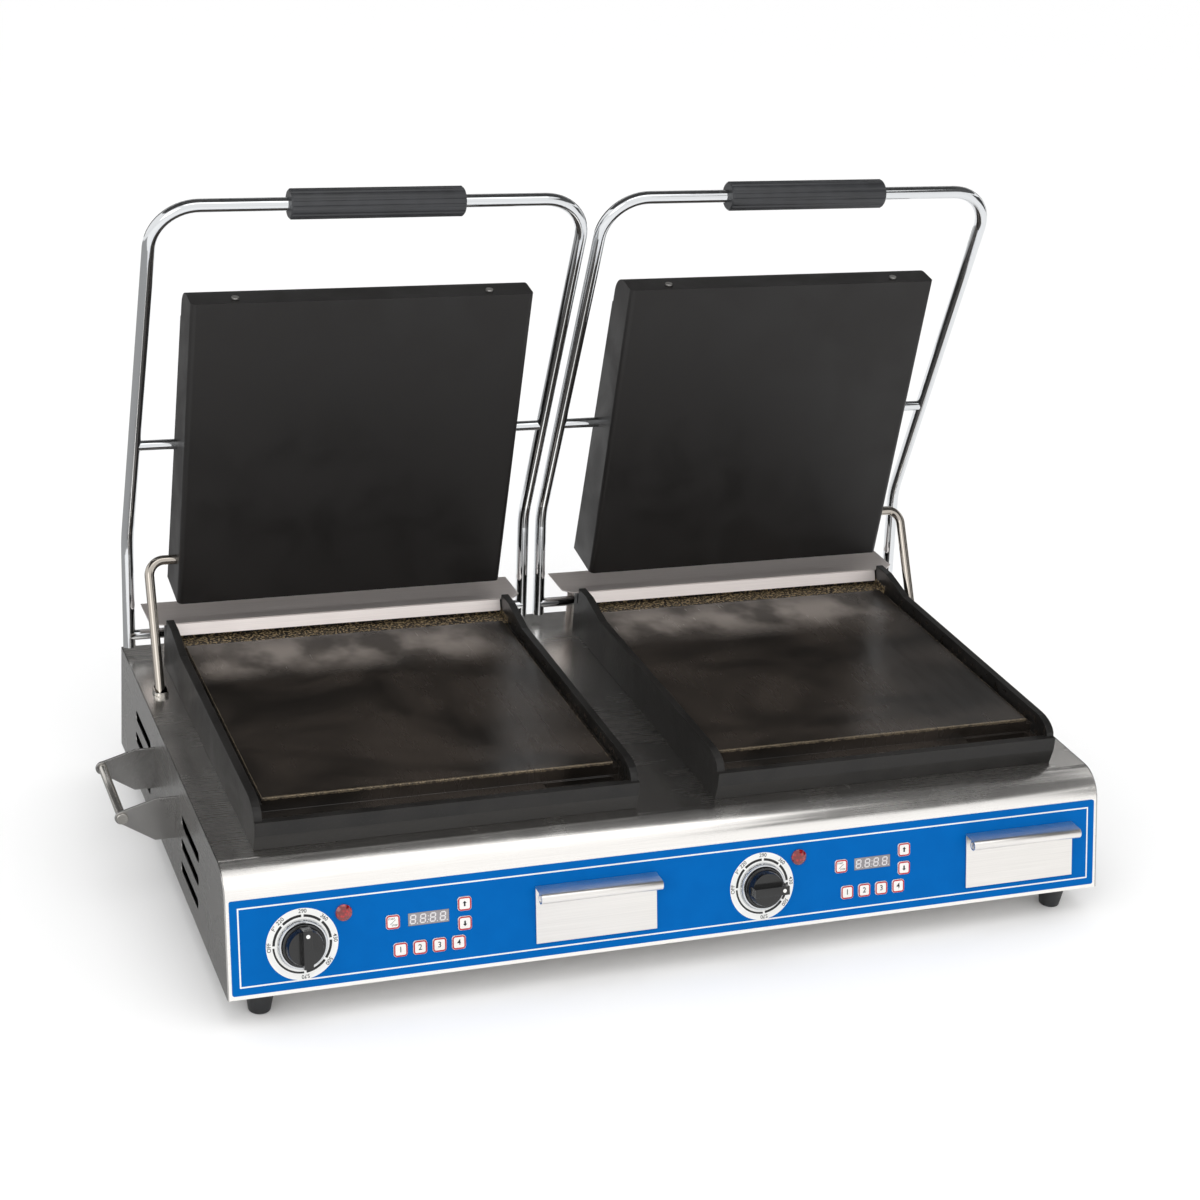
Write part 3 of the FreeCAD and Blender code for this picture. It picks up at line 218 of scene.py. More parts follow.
@dataclass(frozen=True)
class CastIron(Finish):
    """Sand-cast grey iron, oiled and baked black: gritty skin, satin where it is rubbed."""

    bare: str = "4a4643"
    grit_mm: float = 1.1
    pit_mm: float = 5.0
    relief_mm: float = 0.25
    cloud_mm: float = 60.0
    specular: float = 0.4

    def skin(self, tree: bpy.types.NodeTree,
             place: bpy.types.NodeSocket) -> tuple[bpy.types.NodeSocket, ...]:
        """The cast skin's patterns.

        Args:
            tree: the material's tree.
            place: the piece's own coordinates, in metres.

        Returns:
            Its colour, roughness and relief height.
        """
        grit = self.mottle(tree, place, (self.grit_mm,) * 3, detail=2.0)
        pits = self.mottle(tree, place, (self.pit_mm,) * 3, detail=3.0)
        cloud = self.mottle(tree, place, (self.cloud_mm,) * 3, detail=4.0, warp=0.6)
        specks = add_node(tree, RANGE, {0: grit, 1: 0.62, 2: 0.74, 3: 0.0, 4: 0.55}, **SOFT)
        base = add_node(tree, MIX, {0: specks.outputs[0], 6: linear(self.colour),
                                    7: linear(self.bare)}, **COLOURS)
        worn = add_node(tree, RANGE, {0: cloud, 1: THIN, 2: DENSE, 3: 0.0, 4: 0.35}, **SOFT)
        tone = add_node(tree, MIX, {0: worn.outputs[0], 6: base.outputs[2],
                                    7: linear(self.bare)}, **COLOURS)
        rough = add_node(tree, RANGE, {0: cloud, 1: THIN, 2: DENSE, 3: self.roughness - 0.08,
                                       4: self.roughness + 0.08}, **SOFT)
        height = add_node(tree, MATH, {0: grit, 1: pits}, operation="ADD")
        return tone.outputs[2], rough.outputs[0], height.outputs[0]

    def dress(self, tree: bpy.types.NodeTree, shader: bpy.types.Node,
              place: bpy.types.NodeSocket) -> None:
        """The cast skin all over."""
        tone, rough, height = self.skin(tree, place)
        tree.links.new(tone, shader.inputs["Base Color"])
        tree.links.new(rough, shader.inputs["Roughness"])
        shader.inputs["Specular IOR Level"].default_value = self.specular
        bump = add_node(tree, BUMP, {"Height": height, "Distance": self.relief_mm * MM,
                                     "Strength": 0.35})
        tree.links.new(bump.outputs[0], shader.inputs["Normal"])


@dataclass(frozen=True)
class Zone:
    """A box of the machine's space, in metres, whose edges fade over a short way."""

    low: Place
    high: Place
    fade_mm: float = 2.5

    def share(self, tree: bpy.types.NodeTree, axes: Sequence[bpy.types.NodeSocket],
              ragged: bpy.types.NodeSocket) -> bpy.types.NodeSocket:
        """How far inside the zone a point lies.

        Args:
            tree: the material's tree.
            axes: the point's three coordinates.
            ragged: how much the zone's edge wanders, in metres.

        Returns:
            One inside, nought outside.
        """
        inside = None
        for axis, low, high in zip(axes, self.low, self.high):
            middle, half = (low + high) / 2, (high - low) / 2
            off = add_node(tree, MATH, {0: axis, 1: middle}, operation="SUBTRACT")
            away = add_node(tree, MATH, {0: off.outputs[0]}, operation="ABSOLUTE")
            edge = add_node(tree, MATH, {0: away.outputs[0], 1: ragged}, operation="ADD")
            near = add_node(tree, RANGE, {0: edge.outputs[0], 1: half - self.fade_mm * MM,
                                          2: half, 3: 1.0, 4: 0.0}, **SOFT).outputs[0]
            inside = near if inside is None else add_node(
                tree, MATH, {0: inside, 1: near}, operation="MULTIPLY").outputs[0]
        return inside


@dataclass(frozen=True)
class GriddleIron(CastIron):
    """A cast plate with a ground cooking face: satin and oily, with a painted sheen and a painted reflection
    on it, and pale bronze bands along its edges.
    """

    face: str = "191613"
    # sheen: the lighter colour of a painted sheen, laid into the ground face in soft clouds
    sheen: str = "36302b"
    rubbed: str = "a3937b"
    crust: str = "9c8867"
    # film and film_mm: the colour and the patch size of a painted reflection, a pale grey laid over the back
    # of the ground face
    film: str = "9a918a"
    face_roughness: float = 0.19
    face_specular: float = 0.55
    grain_mm: float = 1.6
    lump_mm: float = 2.4
    crust_mm: float = 1.2
    oil_mm: Place = (130.0, 100.0, 80.0)
    wipe_mm: Place = (9.0, 70.0, 30.0)
    film_mm: Place = (50.0, 60.0, 40.0)
    ground: Zone = Zone((0.0, 0.0, 0.0), (1.0, 1.0, 1.0))
    rubs: tuple[Zone, ...] = ()
    crusts: tuple[Zone, ...] = ()
    films: tuple[Zone, ...] = ()

    def any_of(self, tree: bpy.types.NodeTree, zones: Sequence[Zone],
               axes: Sequence[bpy.types.NodeSocket],
               ragged: bpy.types.NodeSocket) -> bpy.types.NodeSocket:
        """How far inside any of several zones a point lies.

        Args:
            tree: the material's tree.
            zones: the zones.
            axes: the point's three coordinates.
            ragged: how much their edges wander, in metres.

        Returns:
            One inside any of them, nought outside them all.
        """
        shares = [zone.share(tree, axes, ragged) for zone in zones]
        most = shares[0]
        for share in shares[1:]:
            most = add_node(tree, MATH, {0: most, 1: share}, operation="MAXIMUM").outputs[0]
        return most

    def wander(self, tree: bpy.types.NodeTree, place: bpy.types.NodeSocket, size_mm: float,
               detail: float, reach_mm: float) -> bpy.types.NodeSocket:
        """How far a zone's edge wanders, in metres.

        Args:
            tree: the material's tree.
            place: the piece's own coordinates, in metres.
            size_mm: how long one turn of the edge is.
            detail: how many finer layers it has.
            reach_mm: how far it strays to either side.

        Returns:
            The distance, from minus the reach to plus the reach.
        """
        pattern = self.mottle(tree, place, (size_mm,) * 3, detail)
        return add_node(tree, RANGE, {0: pattern, 1: THIN, 2: DENSE, 3: -reach_mm * MM,
                                      4: reach_mm * MM}, **SOFT).outputs[0]

    def ground_face(self, tree: bpy.types.NodeTree, place: bpy.types.NodeSocket,
                    reflection_area: bpy.types.NodeSocket) -> tuple[bpy.types.NodeSocket, ...]:
        """The ground face: oil clouds in its gloss that also paint a lighter sheen into its colour, wipe
        marks, and a pale grey painted reflection.

        Args:
            tree: the material's tree.
            place: the piece's own coordinates, in metres.
            reflection_area: where the painted reflection may lie.

        Returns:
            Its colour and its roughness.
        """
        oil_and_sheen = self.mottle(tree, place, self.oil_mm, detail=3.0, warp=0.6)
        wipe = self.mottle(tree, place, self.wipe_mm, detail=4.0, warp=0.3)
        # Painted sheen: the oil clouds also mix a lighter colour into the face.
        sheen_share = add_node(tree, RANGE, {0: oil_and_sheen, 1: THIN, 2: DENSE, 3: 0.0, 4: 1.0}, **SOFT)
        face = add_node(tree, MIX, {0: sheen_share.outputs[0], 6: linear(self.face),
                                    7: linear(self.sheen)}, **COLOURS)
        # Painted reflection: in soft patches, a pale grey is mixed over the back of the face, as a painted
        # reflection of bright surroundings.
        patches = self.mottle(tree, place, self.film_mm, 3.0)
        reflection_strength = add_node(tree, RANGE, {0: patches, 1: 0.35, 2: 0.65, 3: 0.2, 4: 0.8}, **SOFT)
        painted_reflection = add_node(tree, MATH, {0: reflection_area, 1: reflection_strength.outputs[0]}, operation="MULTIPLY")
        colour = add_node(tree, MIX, {0: painted_reflection.outputs[0], 6: face.outputs[2],
                                      7: linear(self.film)}, **COLOURS)
        oily = add_node(tree, RANGE, {0: oil_and_sheen, 1: THIN, 2: DENSE, 3: -0.02, 4: 0.05}, **SOFT)
        wiped = add_node(tree, RANGE, {0: wipe, 1: THIN, 2: DENSE, 3: self.face_roughness,
                                       4: self.face_roughness + 0.07}, **SOFT)
        gloss = add_node(tree, MATH, {0: oily.outputs[0], 1: wiped.outputs[0]}, operation="ADD")
        return colour.outputs[2], gloss.outputs[0]

    def dress(self, tree: bpy.types.NodeTree, shader: bpy.types.Node,
              place: bpy.types.NodeSocket) -> None:
        """The cast skin, with the ground face, pale bronze edge bands and baked-on crust laid in."""
        tone, rough, height = self.skin(tree, place)
        axes = add_node(tree, "ShaderNodeSeparateXYZ", {0: place}).outputs
        ragged = self.wander(tree, place, 7.0, 3.0, 1.0)
        inside = self.ground.share(tree, axes, ragged)
        baked = self.any_of(tree, self.crusts, axes, ragged)
        edge_band = self.any_of(tree, self.rubs, axes, self.wander(tree, place, 4.0, 2.0, 0.3))
        face, gloss = self.ground_face(tree, place, self.any_of(tree, self.films, axes, ragged))
        smooth = add_node(tree, MIX, {0: inside, 6: tone, 7: face}, **COLOURS)
        lump = self.mottle(tree, place, (self.lump_mm,) * 3, detail=3.0)
        burnt = add_node(tree, RANGE, {0: lump, 1: 0.5, 2: 0.58, 3: 0.0, 4: 1.0}, **SOFT)
        grainy = add_node(tree, MIX, {0: burnt.outputs[0], 6: linear(self.face),
                                      7: linear(self.crust)}, **COLOURS)
        crusted = add_node(tree, MIX, {0: baked, 6: smooth.outputs[2], 7: grainy.outputs[2]},
                           **COLOURS)
        grains = self.mottle(tree, place, (self.grain_mm,) * 3, detail=2.0)
        bright = add_node(tree, RANGE, {0: grains, 1: 0.36, 2: 0.6, 3: 0.15, 4: 1.0}, **SOFT)
        # Thin bands along the face's edges turn a pale bronze, speckled by the grain and more metallic.
        patchy = add_node(tree, MATH, {0: edge_band, 1: bright.outputs[0]},
                          operation="MULTIPLY").outputs[0]
        colour = add_node(tree, MIX, {0: patchy, 6: crusted.outputs[2],
                                      7: linear(self.rubbed)}, **COLOURS)
        tree.links.new(colour.outputs[2], shader.inputs["Base Color"])
        both = add_node(tree, MIX, {0: inside, 2: rough, 3: gloss})
        tree.links.new(both.outputs[0], shader.inputs["Roughness"])
        oiled = add_node(tree, RANGE, {0: inside, 1: 0.0, 2: 1.0, 3: 0.3,
                                       4: self.face_specular}, **SOFT)
        tree.links.new(oiled.outputs[0], shader.inputs["Specular IOR Level"])
        metal = add_node(tree, RANGE, {0: patchy, 1: 0.0, 2: 1.0, 3: 0.0, 4: 0.8}, **SOFT)
        tree.links.new(metal.outputs[0], shader.inputs["Metallic"])
        level = add_node(tree, RANGE, {0: inside, 1: 0.0, 2: 1.0, 3: 1.0, 4: 0.06}, **SOFT)
        calm = add_node(tree, MATH, {0: height, 1: level.outputs[0]}, operation="MULTIPLY")
        cast = add_node(tree, BUMP, {"Height": calm.outputs[0], "Distance": self.relief_mm * MM,
                                     "Strength": 0.4})
        raised = add_node(tree, MATH, {0: grains, 1: baked}, operation="MULTIPLY")
        bump = add_node(tree, BUMP, {"Height": raised.outputs[0], "Distance": self.crust_mm * MM,
                                     "Strength": 0.9, "Normal": cast.outputs[0]})
        tree.links.new(bump.outputs[0], shader.inputs["Normal"])


@dataclass(frozen=True)
class Moulded(Finish):
    """Moulded rubber, ABS or enamel: an even colour over a faint texture."""

    shade: str
    texture_mm: float = 0.8
    relief_mm: float = 0.03
    coat: float = 0.0
    specular: float = 0.5
    cloud_mm: float = 22.0

    def dress(self, tree: bpy.types.NodeTree, shader: bpy.types.Node,
              place: bpy.types.NodeSocket) -> None:
        """Fine mould texture, and a slight change of tone and gloss."""
        texture = self.mottle(tree, place, (self.texture_mm,) * 3, detail=2.0)
        cloud = self.mottle(tree, place, (self.cloud_mm,) * 3, detail=3.0)
        share = add_node(tree, RANGE, {0: cloud, 1: THIN, 2: DENSE, 3: 0.0, 4: 1.0}, **SOFT)
        colour = add_node(tree, MIX, {0: share.outputs[0], 6: linear(self.colour),
                                      7: linear(self.shade)}, **COLOURS)
        tree.links.new(colour.outputs[2], shader.inputs["Base Color"])
        gloss = add_node(tree, RANGE, {0: cloud, 1: THIN, 2: DENSE, 3: self.roughness - 0.05,
                                       4: self.roughness + 0.05}, **SOFT)
        tree.links.new(gloss.outputs[0], shader.inputs["Roughness"])
        shader.inputs["Coat Weight"].default_value = self.coat
        shader.inputs["Specular IOR Level"].default_value = self.specular
        shader.inputs["Coat Roughness"].default_value = 0.12
        bump = add_node(tree, BUMP, {"Height": texture, "Distance": self.relief_mm * MM,
                                     "Strength": 0.5})
        tree.links.new(bump.outputs[0], shader.inputs["Normal"])


@dataclass(frozen=True)
class LampLens(Finish):
    """Clear red polycarbonate lens over a dark lamp: deep red with prismatic ribs, and a painted glow."""

    glow: str
    facet_mm: float
    relief_mm: float = 0.3

    def dress(self, tree: bpy.types.NodeTree, shader: bpy.types.Node,
              place: bpy.types.NodeSocket) -> None:
        """Small facets that change the red, painted brighter at their middles, under a hard clear surface;
        the lens also gives off a faint painted glow.
        """
        scaled = add_node(tree, "ShaderNodeMapping",
                          {"Vector": place, "Scale": (1 / (self.facet_mm * MM),) * 3})
        facets = add_node(tree, "ShaderNodeTexVoronoi",
                          {"Vector": scaled.outputs[0], "Scale": 1.0}).outputs["Distance"]
        share = add_node(tree, RANGE, {0: facets, 1: 0.1, 2: 0.6, 3: 0.0, 4: 1.0}, **SOFT)
        red = add_node(tree, MIX, {0: share.outputs[0], 6: linear(self.glow),
                                   7: linear(self.colour)}, **COLOURS)
        tree.links.new(red.outputs[2], shader.inputs["Base Color"])
        # Painted glow: the lens gives off a little red light though the lamp behind it is dark.
        tree.links.new(red.outputs[2], shader.inputs["Emission Color"])
        shader.inputs["Emission Strength"].default_value = 0.1
        shader.inputs["Coat Weight"].default_value = 1.0
        shader.inputs["Coat Roughness"].default_value = 0.03
        bump = add_node(tree, BUMP, {"Height": facets, "Distance": self.relief_mm * MM,
                                     "Strength": 0.4})
        tree.links.new(bump.outputs[0], shader.inputs["Normal"])


# Painted light and shade: the deck and the side panels are one brushed sheet, but the deck's copy is painted
# brighter (painted light) and the side copy darker (painted shade), for how the light falls on each.
DECK_STEEL_LIT = BrushedStainless("brushed_stainless_deck_lit", "f8f5f1", 0.25, "f2efeb")
SIDE_STEEL_SHADED = BrushedStainless("brushed_stainless_side_shaded", "b4b2b0", 0.26, "abaaa8", Grain.BACKWARD)
GUARD_STEEL = BrushedStainless("brushed_stainless_guard", "f8f0ec", 0.54, "f0e8e4")
TRAY_STEEL = BrushedStainless("brushed_stainless_tray", "eeebe7", 0.34, "e6e3df")
ROD_STEEL = BrushedStainless("satin_steel_rod", "d6d3cd", 0.18, "cbc8c2")
TUBE_STEEL = Chrome("bright_steel_tube", "b5aea5", 0.09)
PLAIN_STEEL = BrushedStainless("zinc_plated_steel", "b4b2ae", 0.38, "9a9895", line_mm=1.0,
                               run_mm=4.0)
CHROME = Chrome("chromium_plate", "dcdee0", 0.05)
BEZEL_CHROME = Chrome("chromed_abs_bezel", "cfd1d3", 0.12)
UPPER_IRON = CastIron("cast_iron_upper", "171514", 0.48, "201d1c", 0.9, 6.0, 0.12)
COVER_ENAMEL = Moulded("black_enamelled_sheet", "151516", 0.45, "1b1b1c", 1.2, 0.05)
GRIP_RUBBER = Moulded("nitrile_rubber_grip", "2b2c2e", 0.42, "333437", 0.7, 0.06)
FOOT_RUBBER = Moulded("moulded_rubber_foot", "1a1b1d", 0.55, "242527", 0.9, 0.08)
KNOB_ABS = Moulded("black_abs_knob", "070707", 0.22, "0c0c0c", 0.6, 0.02, 0.3)
KEY_ABS = Moulded("white_abs_key", "efece8", 0.38, "e7e4e0", 0.6, 0.01, 0.1)
GLAND_NYLON = Moulded("black_nylon_gland", "141415", 0.45, "1d1d1e")
BLUE_FILM = Moulded("polycarbonate_film_blue", "0062b0", 0.45, "005fac", 0.5, 0.01, 0.0, 0.04)
WHITE_INK = Moulded("screen_ink_white", "f0f0ee", 0.45, "eaeae7", 0.5, 0.005)
BLACK_INK = Moulded("screen_ink_black", "0c0c0c", 0.5, "141414", 0.5, 0.005)
RED_INK = Moulded("screen_ink_red", "b81d2a", 0.45, "ae1925", 0.5, 0.005)
DISPLAY_GREY = Moulded("display_window_grey", "918d90", 0.25, "868285", 0.5, 0.005, 0.3)
SEGMENT_PALE = Moulded("display_segment_pale", "dcd9da", 0.35, "d4d1d2", 0.4, 0.005)
BOARD_GREEN = Moulded("fr4_board_green", "1f5a34", 0.4, "174a2a", 0.8, 0.02)
RED_LENS = LampLens("polycarbonate_lens_red", "6e060a", 0.06, "aa0c12", 3.2)


# ------------------------------------------------------------------------------ mesh tools
SAME_POINT_MM = 0.002       # points closer than this are one point
FLAT_DEG = 0.5              # faces that turn less than this are one face
SHARP_DEG = 38.0            # edges that turn more than this are rounded
CAPITAL = 0.7               # height of a capital, as a share of the letter size


@dataclass(frozen=True)
class Rounding:
    """How much an edge is broken, and how finely."""

    width_mm: float
    segments: int = 2


def dress_node(name: str, finish: Finish | bpy.types.Material,
               edge: Rounding | None = None) -> None:
    """Gives a CAD node its finish, and breaks its sharp edges.

    Args:
        name: the node.
        finish: the finish, or a material made for this node.
        edge: the rounding, or None where the shape has no sharp edges to break.
    """
    obj = frame["nodes"][name]
    made = finish if isinstance(finish, bpy.types.Material) else finish.material()
    obj.data.materials.clear()
    obj.data.materials.append(made)
    if edge is not None:
        weld = obj.modifiers.new("weld", "WELD")
        weld.merge_threshold = SAME_POINT_MM * MM
        flat = obj.modifiers.new("flat", "DECIMATE")
        flat.decimate_type = "DISSOLVE"
        flat.angle_limit = math.radians(FLAT_DEG)
        bevel = obj.modifiers.new("edge", "BEVEL")
        bevel.width = edge.width_mm * MM
        bevel.segments = edge.segments
        bevel.limit_method = "ANGLE"
        bevel.angle_limit = math.radians(SHARP_DEG)
        bevel.harden_normals = True
    LOG.info("node %s: %s", name, made.name)


def add_piece(name: str, mesh: bmesh.types.BMesh, finish: Finish, body: str) -> None:
    """Makes a piece from a mesh, dresses it and puts it on its body.

    Args:
        name: the piece's name.
        mesh: its mesh, in metres in the machine's frame; it is freed.
        finish: its finish.
        body: the CAD body it moves with.
    """
    bmesh.ops.recalc_face_normals(mesh, faces=mesh.faces[:])
    data = bpy.data.meshes.new(name)
    mesh.to_mesh(data)
    mesh.free()
    data.materials.append(finish.material())
    piece = bpy.data.objects.new(name, data)
    bpy.context.scene.collection.objects.link(piece)
    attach(piece, body)
    LOG.info("piece %s on %s", name, body)


def circle_points(radius: float, start_deg: float, end_deg: float,
                  steps: int) -> list[tuple[float, float]]:
    """Points along an arc about the origin.

    Args:
        radius: the arc's radius.
        start_deg: where it starts.
        end_deg: where it ends.
        steps: how many straight pieces it is made of.

    Returns:
        Its points, both ends included.
    """
    turns = [math.radians(start_deg + (end_deg - start_deg) * i / steps) for i in range(steps + 1)]
    return [(radius * math.cos(a), radius * math.sin(a)) for a in turns]


def band(inner: Outline, outer: Outline) -> list[Outline]:
    """Four-sided patches between two rows of points of the same length."""
    return [[inner[i], inner[i + 1], outer[i + 1], outer[i]] for i in range(len(inner) - 1)]


def rounded_square(half: float, corner: float, steps: int = 5) -> list[tuple[float, float]]:
    """A row of points round a square with round corners.

    Args:
        half: half the square's width.
        corner: the radius of its corners.
        steps: how many straight pieces each corner is made of.

    Returns:
        The points, with the first again at the end.
    """
    inner = half - corner
    points: list[tuple[float, float]] = []
    for quarter, (sx, sy) in enumerate(((1, 1), (-1, 1), (-1, -1), (1, -1))):
        arc = circle_points(corner, 90.0 * quarter, 90.0 * quarter + 90.0, steps)
        points += [(sx * inner + x, sy * inner + y) for x, y in arc]
    return points + points[:1]


def lettering(text: str, height_mm: float, bold: float = 0.012) -> list[Outline]:
    """Flat shapes of a printed word or figure, centred on the origin.

    Args:
        text: what is printed.
        height_mm: how tall its figures are.
        bold: how much the strokes are thickened, as a share of the letter size.

    Returns:
        The shapes, in millimetres.
    """
    curve = bpy.data.curves.new("lettering", "FONT")
    curve.body = text
    curve.size = height_mm / CAPITAL
    curve.align_x = "CENTER"
    curve.align_y = "CENTER"
    curve.resolution_u = 4
    curve.offset = bold
    holder = bpy.data.objects.new("lettering", curve)
    data = bpy.data.meshes.new_from_object(holder)
    shapes = [[(data.vertices[i].co.x, data.vertices[i].co.y) for i in polygon.vertices]
              for polygon in data.polygons]
    bpy.data.objects.remove(holder)
    bpy.data.curves.remove(curve)
    bpy.data.meshes.remove(data)
    return shapes


def turned(shapes: Iterable[Outline], turn_deg: float, across: float = 0.0,
           up: float = 0.0) -> list[Outline]:
    """Shapes turned about the origin, then moved.

    Args:
        shapes: the shapes.
        turn_deg: how far they are turned, counter-clockwise.
        across: how far they are moved to the right.
        up: how far they are moved up.

    Returns:
        The shapes in their new place.
    """
    c, s = math.cos(math.radians(turn_deg)), math.sin(math.radians(turn_deg))
    return [[(c * x - s * y + across, s * x + c * y + up) for x, y in shape] for shape in shapes]


# ------------------------------------------------------------------------------ panel
def joint(name: str) -> dict:
    """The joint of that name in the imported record."""
    return next(j for j in frame["joints"] if j["name"] == name)


@dataclass(frozen=True)
class Panel:
    """The slanted front: across the machine, up the slope, and out of it."""

    out: Vector
    up: Vector
    face: float

    @classmethod
    def of_machine(cls) -> "Panel":
        """The front as the thermostat knob's axis and the control film give it."""
        out = Vector(joint("knob_left_turn")["axis"]).normalized()
        up = Vector((1, 0, 0)).cross(out) * -1
        film = frame["nodes"]["control_overlay"].data.vertices
        return cls(out, up, max(v.co.dot(out) for v in film))

    def spread(self, name: str) -> tuple[Vector, Vector]:
        """A node's lowest and highest extent across, up the slope and out of the film."""
        points = [Vector((v.co.x, v.co.dot(self.up), v.co.dot(self.out) - self.face))
                  for v in frame["nodes"][name].data.vertices]
        low = Vector(min(p[i] for p in points) for i in range(3))
        high = Vector(max(p[i] for p in points) for i in range(3))
        return low, high

    def centre(self, name: str) -> Vector:
        """A node's middle across and up the slope, at the height of its outermost face."""
        low, high = self.spread(name)
        return Vector(((low.x + high.x) / 2, (low.y + high.y) / 2, high.z))

    def layer(self, shapes: Iterable[Outline], centre: Vector, thick_mm: float = 0.07,
              sunk_mm: float = 0.03) -> bmesh.types.BMesh:
        """A thin printed layer lying parallel to the film.

        Args:
            shapes: flat shapes in millimetres round the centre.
            centre: across, up and out, in metres.
            thick_mm: how far it stands out of the surface it is on.
            sunk_mm: how far it reaches into that surface.

        Returns:
            A closed mesh.
        """
        mesh = bmesh.new()
        for shape in shapes:
            mesh.faces.new([mesh.verts.new((x * MM, y * MM, -sunk_mm * MM)) for x, y in shape])
        bmesh.ops.remove_doubles(mesh, verts=mesh.verts[:], dist=SAME_POINT_MM * MM)
        grown = bmesh.ops.extrude_face_region(mesh, geom=mesh.faces[:], use_keep_orig=True)
        top = [g for g in grown["geom"] if isinstance(g, bmesh.types.BMVert)]
        bmesh.ops.translate(mesh, verts=top, vec=(0, 0, (thick_mm + sunk_mm) * MM))
        turn = Matrix((Vector((1, 0, 0)), self.up, self.out)).transposed()
        origin = (Vector((centre.x, 0, 0)) + self.up * centre.y
                  + self.out * (self.face + centre.z))
        mesh.transform(Matrix.Translation(origin) @ turn.to_4x4())
        return mesh


@dataclass
class ControlPanel:
    """The printed film, its border line and everything on it."""

    panel: Panel
    border_inset_mm: float = 6.5
    border_mm: float = 1.3
    dial_mm: float = 31.3
    dial_hole_mm: float = 21.5
    arc_mm: tuple[float, float] = (23.6, 25.8)
    text_ring_mm: float = 28.6
    text_mm: float = 3.4
    marks: tuple[tuple[float, str], ...] = (
        (180.0, "OFF"), (146.0, "F°"), (130.0, "220"), (88.0, "290"), (47.0, "360"), (4.0, "430"),
        (-38.0, "500"), (-86.0, "570"))
    digit_mm: tuple[float, float] = (5.5, 8.4)
    stroke_mm: float = 1.15
    digit_gap_mm: float = 0.12
    digit_lean: float = 0.1
    digit_pitch_mm: float = 8.9
    digit_dot_mm: float = 0.5
    arc_ends_deg: tuple[float, ...] = (180.0, 133.0, 88.0, 47.0, 4.0, -38.0, -86.0, -180.0)
    arc_gap_deg: float = 2.4
    thin_arc_mm: float = 0.55       # the arc below OFF is thinner by this much
    dot_reach_mm: float = 12.6
    dot_mm: float = 1.75
    outline_mm: tuple[float, float] = (4.75, 6.0)
    outline_corner_mm: tuple[float, float] = (1.5, 2.75)

    def build(self) -> None:
        """Dresses the film and prints it, then fits each press's controls."""
        dress_node("control_overlay", BLUE_FILM)
        dress_node("indicator_lamps", RED_LENS)
        dress_node("timer_displays", DISPLAY_GREY)
        dress_node("timer_boards", BOARD_GREEN)
        dress_node("thermostats", PLAIN_STEEL)
        self.border()
        for side in ("left", "right"):
            dress_node(f"knob_bezel_{side}", BEZEL_CHROME, Rounding(0.5))
            dress_node(f"thermostat_knob_{side}", KNOB_ABS, Rounding(0.9, 3))
            self.dial(side)
            self.pointer(side)
            self.keys(side)
        self.digits()

    def print_on(self, name: str, shapes: Iterable[Outline], centre: Vector, ink: Finish,
                 body: str = "base", lift_mm: float = 0.0) -> None:
        """Prints shapes as one thin piece.

        Args:
            name: the piece's name.
            shapes: what is printed, in millimetres.
            centre: where, across, up and out.
            ink: its finish.
            body: the body it moves with.
            lift_mm: how much further out it lies.
        """
        at = centre + Vector((0, 0, lift_mm * MM))
        add_piece(name, self.panel.layer(shapes, at), ink, body)

    def border(self) -> None:
        """A thin white line round the film, a little inside its edge."""
        low, high = self.panel.spread("control_overlay")
        middle = Vector(((low.x + high.x) / 2, (low.y + high.y) / 2, 0.0))
        half_x = (high.x - low.x) / 2 / MM - self.border_inset_mm
        half_y = (high.y - low.y) / 2 / MM - self.border_inset_mm
        signs = ((-1, -1), (1, -1), (1, 1), (-1, 1), (-1, -1))
        outer = [(sx * half_x, sy * half_y) for sx, sy in signs]
        inner = [(sx * (half_x - self.border_mm), sy * (half_y - self.border_mm))
                 for sx, sy in signs]
        self.print_on("film_border_line", band(inner, outer), middle, WHITE_INK)

    def dial(self, side: str) -> None:
        """The white dial ring with its scale arcs and temperatures."""
        centre = self.panel.centre(f"knob_bezel_{side}")
        centre.z = 0.0
        ring = band(circle_points(self.dial_hole_mm, 0, 360, 72),
                    circle_points(self.dial_mm, 0, 360, 72))
        self.print_on(f"dial_ring_{side}", ring, centre, WHITE_INK, lift_mm=0.05)
        arcs: list[Outline] = []
        ends, gap = self.arc_ends_deg, self.arc_gap_deg
        for start, end in zip(ends, ends[1:]):
            thin = self.thin_arc_mm if end == ends[-1] else 0.0
            inner = circle_points(self.arc_mm[0] + thin, start - gap, end + gap, 14)
            outer = circle_points(self.arc_mm[1], start - gap, end + gap, 14)
            arcs += band(inner, outer)
        words: list[Outline] = []
        for angle, text in self.marks:
            word = turned(lettering(text, self.text_mm, 0.03), 0, 0, self.text_ring_mm)
            words += turned(word, angle - 90.0)
        self.print_on(f"dial_scale_{side}", arcs, centre, BLACK_INK, lift_mm=0.12)
        self.print_on(f"dial_figures_{side}", words, centre, BLACK_INK, lift_mm=0.12)

    def pointer(self, side: str) -> None:
        """A white dot on the knob's pointer bar, where the knob stands at rest."""
        centre = self.panel.centre(f"thermostat_knob_{side}")
        turn = joint(f"knob_{side}_turn")
        hub = Vector(turn["pos_m"])
        rest = math.radians(180.0 - turn["range_deg"][1])
        centre.x = hub.x + self.dot_reach_mm * MM * math.cos(rest)
        centre.y = hub.dot(self.panel.up) + self.dot_reach_mm * MM * math.sin(rest)
        self.print_on(f"knob_dot_{side}", [circle_points(self.dot_mm, 0, 360, 24)[:-1]], centre,
                      WHITE_INK, f"knob_{side}", 0.03)

